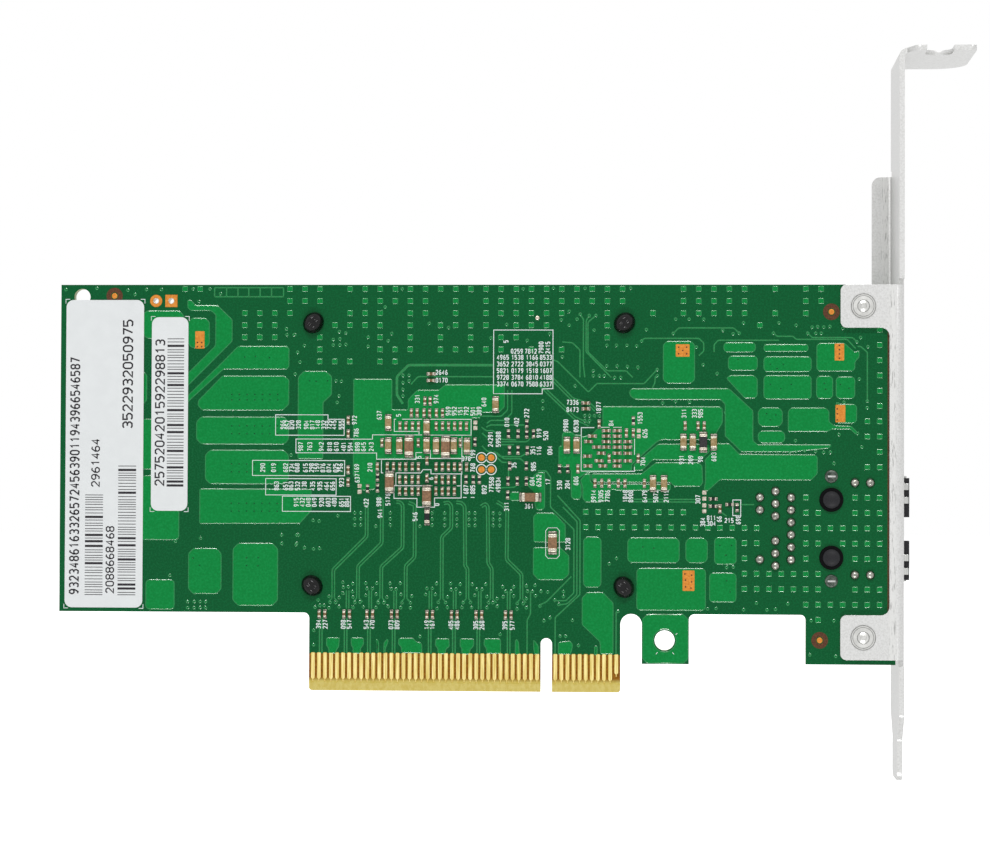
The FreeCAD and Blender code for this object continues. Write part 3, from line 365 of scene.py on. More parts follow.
# boxes of copper: low X, high X, low Z, high Z, cut of the corners
POUR_BOXES = rows("""
-67.3 -60.3 58.1 62.7 .8  -67.3 -66.4 47.4 52.4 .4  -67.3 -60 36.4 44.7 .4  -67.3 -60.9 24.7 35.3 .4
-59.6 -56 56.5 61.5 .7  -58.1 -42.7 40.57 45.1 .8  -56.6 -42.7 34 39.6 .8  -66.4 -61.6 13.2 18.1 .4
-59.3 -53.8 15.8 23.3 .8  -51.9 -44.4 13.9 24.2 .9  -6.1 -4.3 31.4 32.8 .3  6.05 9 17.2 25.5 .5
13.3 21.8 21.3 25.4 .5  22.8 26.4 21.3 25.4 .6  27.5 31.1 21.1 25.5 .4  14.8 26.1 13.5 20.4 .4
26.7 31.1 14.9 19.7 .4  19.05 24.25 50.75 57.7 .6  28.95 34.2 55.9 57.5 .4  29.7 34.5 52.9 55.3 .4
35.5 42.8 56 57.2 .3  35.5 43.3 52.7 55.2 .4  35.5 43.3 48.2 52.1 .4  44.1 46.8 48.3 52 .4
47.3 50.4 48.3 51.9 .4  34.6 38.6 43.7 46.8 .6  47.2 50.7 44.3 47.4 .4  34.6 39 41 43 .5
7.9 8.4 6.1 7.6 .1""", 5)
POURS = paths("""
-59.2 64.5 -58.3 63.6 -54.7 63.6 -52.2 61.2 -52.2 57.6 -59.6 50.2 -59.6 52.3 -55 56.9 -55 62 -55.8 62.7
 -59.2 62.7 -59.7 63.2 -59.7 64.5
-51.2 56.83 -43.1 56.83 -42.7 56.4 -42.7 53.4 -43.1 53 -53.6 53 -59.7 47.4 -59.7 48.5 -54.4 53.6
-53.8 51.9 -43.5 51.9 -42.7 51.2 -42.7 47.2 -43.7 46.2 -57.2 46.2 -57.9 47 -57.8 47.8
-57.5 33.17 -38.9 33.17 -38.9 29.6 -40.8 27.5 -57.5 27.4
-41.2 51.7 -40.2 52.7 -36.6 52.7 -35.6 51.8 -35.6 48.8 -37 47.5 -37 38.2 -41.2 38.2
-32 51.4 -25.6 51.4 -25.6 46.35 -22.95 46.35 -22.95 48 -21.4 49.6 -17.9 49.6 -16.75 50.5 -7 50.5 -7 46.8
 -7.8 46 -10.8 45.9 -11 45 -12.4 45 -12.4 38.4 -28.1 38.2 -28.3 33.2 -30.5 33 -32 35.5
-1.9 35.8 -1.3 36.1 -.3 36 -.3 30.3 -.7 29.9 -1.6 29.9 -1.9 30.4 -2.1 32.8 -3.35 34.1
-36.3 8.7 -34.1 8.7 -34.2 7.2 -34.6 6.7 -34.7 6.1 -35.9 6.1 -35.9 6.9 -36.3 7.4
-32.2 8.7 -30.1 8.7 -30.1 7.5 -30.6 7 -30.6 6.1 -31.9 6.1 -31.9 7.1 -32.2 7.5
-28.1 8.6 -27.7 8.3 -27.6 7.9 -27.6 6.1 -27.9 6.1 -27.9 7.4
-26.8 7.9 -26.2 8.6 -26 8.2 -26.3 7.4 -26.5 6.9 -26.5 6.1 -26.8 6.1
-24.3 8.7 -21.9 8.7 -21.4 8.1 -20.7 8 -20.45 7.6 -20.45 6.25 -23.8 6.25 -23.9 7.2 -24.4 7.7
-18.2 8.65 -16 8.65 -15.9 7.4 -16.5 6.9 -16.6 6.1 -17.8 6.1 -17.9 7.1 -18.3 7.5
-14.2 8.65 -11.9 8.65 -11.9 7.5 -12.5 6.9 -12.6 6.1 -13.9 6.1 -13.9 7.1 -14.2 7.4
-10.2 8.7 -7.5 8.7 -7.45 6.25 -9.8 6.25 -9.9 7.2 -10.3 7.6
-5.1 8.4 -4.85 8.7 -4.5 8.1 -4.4 6.1 -5.15 6.1
-2.1 8.6 -1.6 8 -1.25 7.6 -1.25 6.1 -1.9 6.1 -2.1 7.2
1.95 8.2 4 8.4 4.4 7.7 4 6.2 1.95 6.2
6.7 16.4 9.3 16.4 11 14.7 11 6.3 8.9 6.3 8.8 8.3 5.85 11.1 5.85 15.5
-2.2 28.8 -1.6 29.4 1.2 29.4 3.1 27.5 3.1 24.6 -2.1 24.6
-2.2 23.7 2.3 23.7 3.7 22.4 3.7 19.3 2.7 18.4 -1.3 18.4 -2.2 19.3
9.15 46.95 28.45 46.95 28.8 46.6 28.8 44.3 28.35 43.6 27.8 42.6 27.6 41.5 18.8 41.5 18.1 41.15 14 37.45
 13.9 36.25 7.35 36.15 6.4 36 5.15 35 5.7 33.8 5.7 32.1 5.3 31.65 4.4 31.65 4 32.1 4 36.5 3.4 36.9
 1.95 37.1 1.95 40.35 2.5 40.4 2.5 42.4 2.9 42.75 4 42.75 4.6 42.25 5.6 42.2 5.8 41.9 7.4 42.3 8.4 43.4
 9.15 43.5
18.3 40.8 26.3 40.8 26.7 40.3 26.7 39.6 25.2 38.2 17.4 38.2 15.7 36.5 14.3 36.4 14.3 37.4 15 38
7.35 35.85 15.6 35.9 17.9 37.75 24.9 37.75 25.5 37.2 25.6 34.4 25.1 33.85 20.9 33.85 20.3 34.5 7.9 34.5
 7.35 34.9
6.3 35.8 7.15 35.9 7.2 34.6 7.7 34.2 20.3 34.2 20.3 33.2 11.5 33.15 10.6 33.4 10 31.6 8.6 31.2 6.4 31.2
 5.9 31.8 5.9 33.7 5.5 34.8
27 40.6 27.9 40.9 29.9 40.9 31.6 39.15 43.9 39.1 44.3 38.7 44.3 36 43.3 34.95 28.4 34.95 26.4 33.1
 25.8 33.3 26 34.6 26 37.6 25.9 38.2 26.9 39.2
13.9 49.9 29.7 49.95 30.2 49.6 33.8 46.3 33.8 41.4 34.5 40.75 46.6 40.75 46.2 40.2 40 39.55 31.9 39.55
 30 41.4 29.2 42.1 29.2 47.3 28.5 48.1 14.5 48.1 13.7 48.6 13.5 49.3
30 52.1 33.9 52.1 34.5 51.5 34.5 48.8 34.1 48.35 32.4 48.35 29.4 51.6
44.6 57.4 48.7 57.4 50.3 55.9 51.1 56.2 51.1 55.1 50.4 54.3 50.4 53.2 50 52.8 44.5 52.8 44.15 53.2
 44.15 57
39.5 46.2 40 46.8 45.6 46.8 46.2 46.2 46.2 44.5 47 43.9 49.8 43.8 50.8 42.8 50.6 42.4 49.6 43.3 46.6 43.3
 46 42.9 39.5 42.9
""")
TRACES = paths("""
-1.5 36.3 -.1 36.3 .65 35.2 .6 30.4 4.5 26.7 4.5 16.3 3.2 15 1.2 15
2.66 30.4 5 28 5 16 3.4 14.5 2.1 14.3
1.74 32.3 5.5 28.2 5.5 16 1.46 12.25 1.46 6.1
-1.1 14.3 0 14.8 4.1 19
11.46 13.3 11.46 6.1
-22.5 50.5 -21.3 51.8 -8.8 51.8
-6.5 49.6 -6.5 46.35 -7.55 45.3 -10.8 45.3
-5.8 49.6 -5.8 45.8 -7 44.6 -9.3 44.6 -9.9 44.1
-3.7 43.85 -9.3 43.85 -10 43.5
-10.8 43.5 -10 42.9 -8.85 42.9 -7.5 41.5 -5.1 41.4
-10.7 42.5 -9.8 41.7
-7.5 40.6 -5.4 40.6
-2.7 41.7 -3.3 41.1 -7.5 41.1
-10.7 40.4 -9.8 39.5 -9.2 39.5 -7.4 37.7 -6.6 37.7
-8.7 39.5 -7.8 38.65 -4.3 38.65 -3.5 39.1
-8.3 39.3 -7.1 38.3 -4.3 38.3 -3.6 37.6
-6.3 36.5 -6.3 35.2
-10.4 33.4 -5.3 33.6 -5 33.9
.95 54.6 1.74 54.3 6.8 49.3 8.2 50.7 15.95 50.7 18.05 53
2.47 57.55 4.2 57.4 5.4 56.2 5.4 51.7
5.4 62.1 5.95 61.3 5.95 53.8 6.2 51.7
6.9 61.9 6.4 61.05 6.4 55.9 10.55 51.7
8 61.9 6.7 60.8 6.7 55.9 9.9 52.8 13 52.8 14.1 51.7
15.5 57.7 15.95 58.15 24.9 58.15 25.7 57.4 25.7 56.05 24.9 55.3
20.7 58.95 21.6 59.87 30.6 59.87 31.5 59
27.4 55.9 27.4 57.1 28.05 57.85 38 57.85
37.1 59 37.7 58.5 40.3 58.5 40.8 58 49.1 58 50.5 56.5
42.7 59 43.4 58.3 50 58.3 50.7 57.6
50.8 56.85 51.3 56.85 52.4 55.9 52.4 47.8
31.6 30.9 34 30.9
28.7 29.6 29.5 29
-2.6 16.5 -2.6 12.8 -3.15 11.8 -3.15 6.1
17.8 51.9 17.7 50.8 17.3 50
-55.2 65 -43.7 65 -43.7 66.5 -55.2 66.5 -55.2 65
-53.2 65 -53.2 66.5
-51.3 65 -51.3 66.5
-49.5 65 -49.5 66.5
-47.6 65 -47.6 66.5
-45.7 65 -45.7 66.5
""")
# two traces side by side, run as one path
TRACE_PAIRS = paths("""
-35.2 15.2 -35.2 19.9 -29.7 25.4 -29.7 31.5
-31.1 15.2 -31.1 20.5 -27.2 24.3 -27.2 31.4 -28 32
-27.25 15.2 -27.25 20.4 -23.75 23.6 -23.75 30.6 -24.2 31.1 -24.8 31.1
-23.2 15.2 -23.2 20.6 -21.75 22 -21.75 30.6 -22.8 31
-17.25 15.2 -17.25 25.4 -15.7 26.9 -15.7 30.5 -16.2 31.1 -17 30.9
-13 15.2 -13 20.2 -13.4 20.6 -13.5 30.4 -14 31 -14.9 31.1
-9 15.2 -9 20.2 -9.6 21.1 -9.7 30.4 -10.1 30.9 -10.8 30.4
-4.1 15.2 -4.1 19.3 -6.55 21.7 -6.5 29.9 -7.3 30.7 -8.2 31.2
13.8 31.5 24.6 31.5
-1.4 50.7 4.6 45 7 43.9
.8 51.5 4.2 48.1 7 47.3 8 46.3
""")
WIDE_TRACE = rows("-23.8 47.3 -24.8 48.8 -24.8 51.8 -22.9 53.7 -8.8 53.7")
# short upright pairs: X of each row's pairs, and the row's low and high Z
LOWER_PAIRS = "-37.22 -33.1 -29.24 -25.16 -19.2 -15.2 -11.18 -6.18"
LOWER_SPAN = (6.1, 12.0)
UPPER_PAIRS = "-32.8 -29.06 -24.94 -19.1 -15.1 -10.97 -6.2"
UPPER_SPAN = (13.5, 16.5)
FACE_SPAN = (6.1, 13.4)
FANNED_PAIRS = 8        # the first pairs spread apart at their lower end
FAN_REACH, FAN_DROP = 0.8, 0.6
TRACE_SLOPE = 0.32      # share of a trace's width that each of its slopes takes
VIAS = rows("""
-80.1 66.2 -74.9 66.4 -69.7 66.1 -68.5 65.4 -66.6 66.2 -64.1 66.2 -57.8 64.2 -58.8 66.3 -56 66.3
-54.2 65.5 -43.2 59.7 -43.1 58.7 -41.9 58.7 -41.3 55.8 -41.7 52.2 -42.3 38.8 -57.3 25 -61.5 24.5
-62.4 18.8 -43.8 25.6 -43.8 24.2 -41.3 25.6 -41.3 24.2 -59.4 14.5 -58.3 14.5 -57.3 14.5 -56.4 14.5
-59.4 13.5 -58.3 13.5 -57.3 13.5 -56.4 13.5 -26.8 63.3 -24 66.3 -19.5 60.6 -25.7 58.9 -26.3 57.7
-29.6 58.3 -29.6 56.8 -34.4 59.2 -33.3 59 -35.4 57.9 -34.3 58 -35.4 57 -34.3 57 -33.3 57.1 -40.2 56.9
-40.9 54.2 -41.8 58.7 -34.9 51.1 -34 51 -34.4 48.6 -34.7 47.5 -16.3 59.9 -6.7 60.4 -4 66.3 -3.3 57.8
-9.3 58.2 -23.8 52 -22.8 52 -23.8 50.8 -22.8 51.1 -23.8 49.7 -23.8 48.6 1 66.4 6.2 66.4 13.7 66.4
3.6 62.6 5.4 62.1 6.9 61.9 8 61.9 4.9 61.3 2.3 61.2 3.6 60.3 7.7 59.5 16.3 59.6 20.7 58.95 15.5 57.7
9.8 57 11.4 57 13.1 57 14.7 56.9 9.8 53.6 11.5 53.6 13.2 53.5 14.9 53.4 7.6 52.8 7.6 52 8.6 52 9.4 52
11.1 51.7 12.1 51.7 2.5 55.1 4.6 50.3 18.1 53 18.1 52 24.5 56.7 25.6 53.8 27.9 52.4 -.7 47.8 -.7 46.6
.4 58.9 19.2 49.1 23.6 49.1 28.5 49.1 19 47.5 21.1 47.8 23.4 47.7 21 46.7 6.2 45.4 7 45.4 7.8 45.4
8.6 45.4 6.2 44.6 7 44.6 21.1 61.3 23.3 61.3 25.7 61.3 28.8 59.5 32.2 60.7 35.1 60.3 38 60.7 40.8 60.3
43.4 60 44.3 60.1 45.3 60 46.3 60.1 48.4 59.8 44 59 44.9 59 42.7 59 37.1 59 30.5 58.9 31.5 59 51.3 58.3
50.7 57.6 52.5 56.8 51.1 51.5 52.4 47.9 52.4 46.8 47.6 47.4 48.6 47.7 50.8 42.6 47.8 42.4 51.5 40.4
40.7 41.4 47 37.7 46.4 39.5 45.3 39.5 44 39.7 42.2 39.8 40.8 39.7 39.8 39.6 29.3 46 30.3 46.1 31.3 46.1
-37.7 14.9 -38.2 13.7 -37.4 14 -36.7 14 -35.9 13.6 -35.7 14.5 -35.9 15.5 -34.8 14.5 -34.2 13.8
-34.2 15.3 -33.6 16 -33.5 17 -33.6 17.8 -31.95 17.6 -32.7 17.1 -32 16.3 -31.9 15.4 -31.6 14.5
-30.75 14.6 -31.9 13.7 -30.2 13.8 -29.6 16.8 -28.7 16.8 -29.8 15.7 -28.1 15.9 -29.8 17.7 -28 17.7
-27.7 14.5 -26.8 14.5 -28.1 13.7 -26.1 13.9 -26.3 15.4 -25.8 17.7 -25.6 16.75 -24.8 16.75 -24.1 17.7
-24 15.9 -22.2 15.6 -23.8 14.5 -22.4 14.5 -24 13.7 -22.4 13.7 -38.4 9.9 -38.4 7.5 -20.8 9 -19.7 16.9
-18.8 16.9 -19.9 15.9 -18.3 15.9 -18.1 17.7 -15.8 17.7 -17.8 14.6 -16.6 14.6 -18 13.6 -16.3 13.8
-16.3 15.5 -15.7 16.7 -14.9 16.8 -14.2 16.1 -14.2 17.6 -12.2 17.6 -13.7 14.6 -12.5 14.6 -13.9 13.8
-12.3 13.8 -11.8 15.8 -11.5 16.8 -10.6 16.8 -10 17.6 -9.8 15.6 -8.1 15.3 -9.5 14.6 -8.8 14.6 -9.8 13.8
-8.1 14 -7.2 17.2 -5.4 17.2 -6.7 16.5 -5.8 16.5 -7.1 15.6 -5.4 15.7 -4.8 14.5 -3.8 14.5 -4.8 13.6
-3.3 13.8 -3.3 15.3 -3.3 17.4 -1.9 17.5 -3.1 16.5 -2.3 16.5 -1.8 15.8 -.9 16.5 .2 16.4 -1.05 14.1
-.4 11.7 .6 12.2 -7.6 9.4 2.3 9.2 3.2 9.2 2.8 16.5 2.8 15.7 1.4 15.1 2.05 14.4 4.3 11.8 5.3 7.7
10.3 21.1 11.5 22 11.75 13.3 -41 25.6 -41.4 24 -40 23.5 -38.5 23.3 -37.5 23.4 -38.6 28 -37.6 27.9
-34.5 28.8 -28.2 27.1 -20.9 27.1 29.5 20.6 30.6 20.7 26.4 13.8 27.8 13.9 32.3 13.7 34.4 14.8 36.1 13.7
37.5 13.8 39.5 14.7 43.3 12 47 12 43.1 6.4 47.3 6.2""")
# small sunk vias that show as dark specks on the pours
POUR_PITS = rows("""
-39.27 51.07 -38.2 51 -36.3 51.07 -49.6 21.8 -47.7 21.8 -49.6 20.5 -47.7 20.5 -58.5 21.7 -57.4 20.5
-48.3 55.1 -46 54.9 -50.1 55 36.6 53.9 37.7 53.2 38.7 53.9 36.6 50.6 38.3 49.9 40 50.6 45.4 50.8
45.6 49.8 48 50.6 49.4 50 36 45.8 36.6 44.8 37.5 45.6 29.5 18.4 30.1 16.6 28.4 24.2 29.4 22.6 30.3 24.2
15.8 23.9 17.6 23.7 31.3 54.7""")
# rows of the same specks: Z of each row, X of its first speck, their pitch and count
PIT_ROWS = "48.8 47.9 43.6 42.3 37.3 36 30.8 29.5"
PIT_START, PIT_PITCH, PIT_COUNT = -52.2, 1.27, 7
VIA_COLUMNS = "-31.7 -30.7 -25.8 -18.9 -16.8 -14.8 -12.8 -11.8 -8.8 -7.7"
VIA_COLUMN_ROWS = (27.3, 28.3, 29.3)
# bare gold pads: low X, high X, low Z, high Z
BARE_PADS = rows("""
-58.4 -56.8 56.37 59.3  21.1 23.4 55.1 57.2  47.05 48.65 54.5 57.35  47.2 48.85 44.4 47.3
22.3 24.3 16.7 20.1""", 4)
PAD_VIAS = rows("""
-58 57.4 -57.3 57.4 -58 56.7 -57.3 56.7 21.6 56.7 22.9 56.7 22.25 56.15 21.6 55.6 22.9 55.6 47.85 57
47.85 56.3 47.85 55.6 47.85 54.9 47.5 46.6 47.5 45.8 47.5 44.8 22.7 19.5 23.8 19.3 22.8 18.5 23.8 18.2
22.8 17.4 23.7 17.2""")
SIGHT_MARKS = rows("-71.92 65.13 46.55 62.51 44.69 8.78")
TEST_POINTS = rows("-10.77 38.45 -9.16 38.45 -10.77 36.5 -9.16 36.5")
SILVER_PADS = rows("""
25.85 32.85 25.85 31.85 25.85 30.75 25.85 29.8 15.1 42.97 15.1 42.05 -11.8 44.25 -11.8 43.35
-30.9 33.74 -30.9 32.77""")
SOLDERED_SPOTS = rows("-1.63 61.5")
HEADER_HOLES = rows("-64.95 64.3 -62.41 64.3")
PAD_LEVEL = 0.085       # height of a bare pad over the board
CONTACT_LEVEL, CONTACT_RIM = 0.05, 0.06     # height of an edge contact, and width of its sloped rim
TINNED_PAD = 0.74
HOLD_HOLE = (19.4, 8.6)
# copper of the hold-down tab: reach from the hole to either side along X, up and down, cut of its corners
HOLD_REACH = {"front": 3.92, "rear": 3.68, "up": 4.35, "down": 3.82}
HOLD_CUT = 0.8
HOLD_RING = 1.78
BRACKET_FOLD = 56.46
LIP_SHADE_START, LIP_SHADE_FULL = 0.8, 0.3      # from the fold to where the darker streaked band, painted shade of the rolled lip, begins, and where it is full
SHADOW_GAP_X = BRACKET_FOLD - 0.64    # X of a strip of painted shadow, in bare-laminate brown, where the board meets the bracket's lip
SHADOW_GAP_SPAN = (12.4, 60.6)
RIVET_RISE = 0.45       # a rivet head's height over the bracket's tab

# legend strokes; a line that starts with o is closed
LEGEND = table_lines("""
o -44.9 45.45 -36.2 45.45 -36.2 44.72 -33.5 44.72 -33.5 42.08 -44.9 42.08
-20.6 42.17 -28.8 42.17 -28.8 41.45 -41.5 41.45 -41.5 39.17 -28.1 39.17 -28.1 38.15 -21.6 38.15
 -21.6 39.26 -20.6 39.26
-21.1 42.17 -21.1 42.75 -25.2 42.75 -25.2 44.76 -24.9 44.76
-23.9 44.76 -20.6 44.76
-19.3 44.76 -12.5 44.76 -12.5 42.15 -19.2 42.15
-19.2 39.7 -19.2 38.3 -14 38.3
-14 41.9 -14 35.7
-27.3 38 -27.3 35.9 -27 35.9
-24.9 35.9 -20.8 35.9 -20.4 36.45 -19.1 36.45 -19.1 35.77 -14.1 35.77 -14.1 31.8 -18.5 31.8 -18.5 30.27
 -21.4 30.27 -21.4 31.7 -25.2 31.7 -25.2 33.8 -18.9 33.8
-24.9 35.9 -24.9 33.8
-14.8 33.8 -14.1 33.8
o -48.7 35.4 -33.4 35.4 -33.4 37.9 -48.7 37.9
o -46.5 32.2 -34.8 32.2 -34.8 34.9 -46.5 34.9
o -43.7 29.5 -32.4 29.5 -32.4 32 -43.7 32
o -8.83 59.5 .95 59.5 .95 49.85 -.8 49.8 -.8 49 -8.83 49
7.8 43.45 5.65 43.45 5.65 36.3 14.4 36.3 14.4 37.05
8.9 43.5 10.3 43.5
10.9 43.5 12.3 43.5
14.4 41.65 14.4 39
o .25 21.96 1.7 21.96 2.1 22.4 2.1 26.5 1.7 26.96 .25 26.96 -.14 26.5 -.14 22.4
o 30.5 29.1 31.8 29.1 31.8 31.65 30.5 31.65
-13.8 31.9 -13.2 31.9
-12.5 31.9 -11.9 31.9
21.2 9.55 21.5 9.8
18 6.35 18.25 6.65
20.7 6.65 20.95 6.35
""")
# numbers on the board: Z of the middle, how many digits, then the X of each; they read upwards
NUMBER_ROWS = [
    (43.8, 3, "-43.7 -42.9 -42.2 -41.1 -39.8 -38.8 -37.9 -36.9 -36 -35.2 -34"),
    (40.2, 3, "-40.7 -39.2 -37.3 -35.9 -34.8 -33.6 -32.5 -31.3 -30.3 -29"),
    (36.7, 3, "-47 -45.2 -43.2 -42.2 -41.3 -39.9 -38.9 -38 -37 -36 -34.9 -34.1"),
    (33.7, 3, "-44.7 -43.2 -42.3 -41.2 -40.1 -38.7 -37.5 -36.4 -35.4"),
    (31.0, 3, "-41.4 -40.4 -39.4 -38.4 -37.2 -36.1 -35.1 -33.9 -33"),
    (46.1, 3, "-16.3 -15.3 -14.3 -13.3 -12.2 -11.2"), (35.0, 1, "-19.1"), (45.4, 1, "-24.5"),
    (38.5, 1, "-21.1"), (30.7, 1, "-18.1"), (10.9, 3, "-37.6 -36.5 -33.5 -32.5 -29.7 -28.7 -25.6 -24.6"),
    (10.9, 3, "-19.7 -18.8 -15.7 -14.7 -11.6 -10.6 -6.8 -5.6"),
    (32.2, 4, "7.7 8.9 10 12.9 13.8 16.1 17.9 19.6"),
    (45.8, 3, "22.5 24.2 25.2"), (38.2, 3, "22.1 23.6"), (41.5, 5, "-9.3 -8"), (34.0, 5, "-9.1 -8"),
    (56.6, 4, "-1 .1"), (57.6, 1, "-6.8"),
]
# single numbers: X, Z, digits, 1 where they read along the board
NUMBERS = rows("""
-31.8 44.6 3 0  -31.5 42.5 3 0  -27.7 45.4 3 0  -31.4 36.6 3 0  -33.9 34.3 3 0  -31.3 35 3 0
-29.2 36.8 3 0  -29.8 30.9 3 0  -27.7 31.1 3 0  -26.2 31.5 4 0  -27.5 29.2 3 0  -21.7 28.7 3 0
-21.4 48.1 3 0  -18.3 48.1 3 0  -17.4 52.5 4 1  -17.4 51.2 4 1  -10.4 47.6 3 0  -12.2 36.8 3 0
-13.3 38.3 3 1  -12.2 39 3 0  -13.3 33.2 3 0  -12.2 33.2 3 0  -10.3 33.2 3 0  -6.6 44.3 3 0  -5 44.3 3 0
-3.35 45.8 3 0  -1.3 42.5 3 0  -.2 42.1 3 0  -2.3 39.7 3 0  -1.3 39.6 3 0  .5 39.7 3 0  -5.4 37.2 2 0
-2.2 37 3 0  -2.4 34.6 3 0  -1.3 34.7 4 0  .2 34.5 2 0  2.1 34 3 0  3.4 34.1 3 0  3.1 43.8 4 0
4.8 43.7 4 0  -6.6 30.4 3 0  -2.9 30.5 3 1  4.2 47.6 4 1  4.2 46.4 4 1  8.5 46.7 4 0  10.55 44.2 2 0
15.3 45 4 0  16.1 42.5 3 0  15.8 37.9 3 0  4.8 34.7 3 0  25.2 38.3 2 0  27.4 38.7 3 0  24.8 31.7 3 0
25.6 28 3 0  27 28.7 3 1  27 27.8 3 1  28.3 28.5 2 0  29.9 28.3 3 1  31.4 28.4 3 0  3.5 24.3 4 0""", 4)
# field of numbers by the memory: Z of each row; they read along the board
FIELD_ROWS = "55 53.9 52.8 51.7 50.6"
FIELD_COLUMNS = "-7.3 -4.9 -2.5 -.2"
FIELD_TOP = ((-5.0, 56.0), (-2.7, 56.0))
# component face: vias in rows (first and last X, pitch, Z) and single ones, a pair's half spacing
FACE_VIA_ROWS = ((-70, 46, 4.7, 65.8), (-79, -44, 3.9, 14.4))
FACE_VIAS = [(43.6, 6), (46.6, 6)]
FACE_PAIR_REACH = 0.21
CHIP_VIA_DROP = 1.9
OUTLINE_GAP = 0.5       # between a part of the component face and its printed outline
# component face: boxes of copper, single traces and pairs
FACE_POURS = rows("""
22.4 42.1 50.6 60.2 .7  43 50.6 43.2 60.2 .8  27.6 34.6 44.6 50 .5  36.6 42.4 44.6 50 .5
-64.6 -55.4 46.9 56.1 .7  -75.6 -66.2 42.4 51.6 .7  -64 -56 38.2 45.4 .5  -80 -66 15.6 33 .9
-79.6 -66.2 54 62 .8  43.4 54 6 15 .8""", 5)
FACE_TRACES = paths("""
-53.6 22.1 -50 22.1 -47 25.1 -42 25.1
-53.6 23.4 -50.4 23.4 -47.4 26.4 -42 26.4
-53.6 24.6 -50.8 24.6 -47.8 27.6 -42 27.6
-53.6 25.9 -51.2 25.9 -48.2 28.9 -42 28.9
-42 44 -50 44 -52.2 41.8 -56 41.8
-42 45.2 -51 45.2 -53 43.2 -56 43.2
-62.4 22.1 -64.2 22.1 -65 21.3
-62.4 24.6 -65 24.6
16 31 22.8 31
16 24 22.8 24
28.2 31 30 31 31.6 32.6 33.2 32.6
28.2 24 30 24 31.6 22.4 33.2 22.4
17 37 21 41 21 52 22.4 53.4
17.6 36 22 40.4 30 40.4 31.4 41.8 31.4 44.6
33.6 47.4 36.6 47.4
""")
FACE_PAIRS = paths("""
16.4 26.7 33.2 26.7
16.4 27.9 33.2 27.9
16.4 20.2 24 20.2 25 19.2 33.2 19.2
16.4 34.6 33.2 34.6
-42 33 -48 33 -51 30 -52.6 30
""")
OUTLINED = ("power_inductors", "polymer_capacitors", "regulator_chips", "memory_chip", "crystals")
FACE_CHIPS = ("face_chip_capacitors", "face_chip_resistors")
# strokes of the ten digits in a box 0.6 wide and 1 high
DIGITS = [[rows(stroke) for stroke in line.split("/")] for line in """
.15 0 .45 0 .6 .2 .6 .8 .45 1 .15 1 0 .8 0 .2 .15 0
.1 .75 .35 1 .35 0
0 .8 .15 1 .45 1 .6 .8 .6 .6 0 0 .6 0
0 .9 .15 1 .45 1 .6 .8 .6 .65 .45 .52 .2 .52/.45 .52 .6 .35 .6 .2 .45 0 .15 0 0 .1
.45 0 .45 1 0 .3 .6 .3
.6 1 0 1 0 .55 .4 .6 .6 .42 .6 .2 .45 0 .15 0 0 .1
.55 .95 .3 1 0 .6 0 .2 .15 0 .45 0 .6 .2 .6 .35 .45 .52 .15 .52 0 .38
0 1 .6 1 .2 0
.15 .52 0 .68 0 .85 .15 1 .45 1 .6 .85 .6 .68 .45 .52 .15 .52 0 .35 0 .15 .15 0 .45 0 .6 .15 .6 .35 .45 .52
.05 .05 .3 0 .6 .4 .6 .8 .45 1 .15 1 0 .8 0 .65 .15 .48 .45 .48 .6 .62
""".strip().splitlines()]
# label print: middle of the line along X, low Z, high Z, digit height, how many digits
LABEL_NUMBERS = rows("""
-78.4 15.5 55 1.7 36  -74.9 33.3 41.5 1.5 7  -72.4 15.7 27 1.5 10  -69.6 43 61.3 1.8 13
-64.2 33.5 58 1.7 19""", 5)
# low X, high X, low Z, high Z
LABEL_BARS = rows("-76.6 -73.6 15.5 32.3 -71.1 -68.1 15.5 37 -63 -60.2 33.5 58.1", 4)
BAR_MODULE = 0.13

# profiles of round details: reach from their own line, and height over the board
HEADER_RING = [(0.5, SUNK), (0.5, 0.08), (1.0, 0.08), (1.04, SUNK)]
SIGHT_DOT = [(0.48, SUNK), (0.46, 0.05), (0.38, 0.07), (0.3, 0.06)]
SIGHT_CLEARING = [(0.6, SUNK), (0.61, 0.03), (1.35, 0.03), (1.38, SUNK)]
TEST_DOT = [(0.57, SUNK), (0.53, 0.085)]
TEST_RING = [(0.76, SUNK), (0.77, 0.09), (0.9, 0.09), (0.92, SUNK)]
PAD_VIA = [(0.16, SUNK), (0.14, 0.095)]
SOLDERED_SPOT = [(0.37, SUNK), (0.34, 0.08), (0.22, 0.13), (0.08, 0.15)]
CORNER_DOT = [(0.24, SUNK), (0.22, 0.08)]
# the same as shares of a solder joint's radius; the dome's heights are shares of the joint's
SOLDER_DOME = [(1.16, SUNK), (1.12, 0.2), (1.02, 0.44), (0.84, 0.68), (0.6, 0.86), (0.34, 0.96), (0.1, 1.0)]
LEG_DISH = [(0.86, SUNK), (0.82, 0.16), (0.68, 0.26), (0.52, 0.22), (0.3, 0.12)]
# node, finish and width of its eased edges
PORT_PARTS = (
    ("port_housing", "port", 0.08), ("port_shield", "shield", 0.06), ("port_contacts", "contact", 0),
    ("port_transformer_block", "potting", 0.15), ("status_lights", "light", 0.08),
)
PACKAGES = (
    ("network_controller", "epoxy", 0.12), ("line_driver", "epoxy", 0.12), ("regulator_chips", "epoxy", 0.06),
    ("memory_chip", "epoxy", 0.06), ("power_inductors", "powder", 0.2), ("polymer_capacitors", "can", 0.15),
    ("crystals", "crystal", 0.1),
)
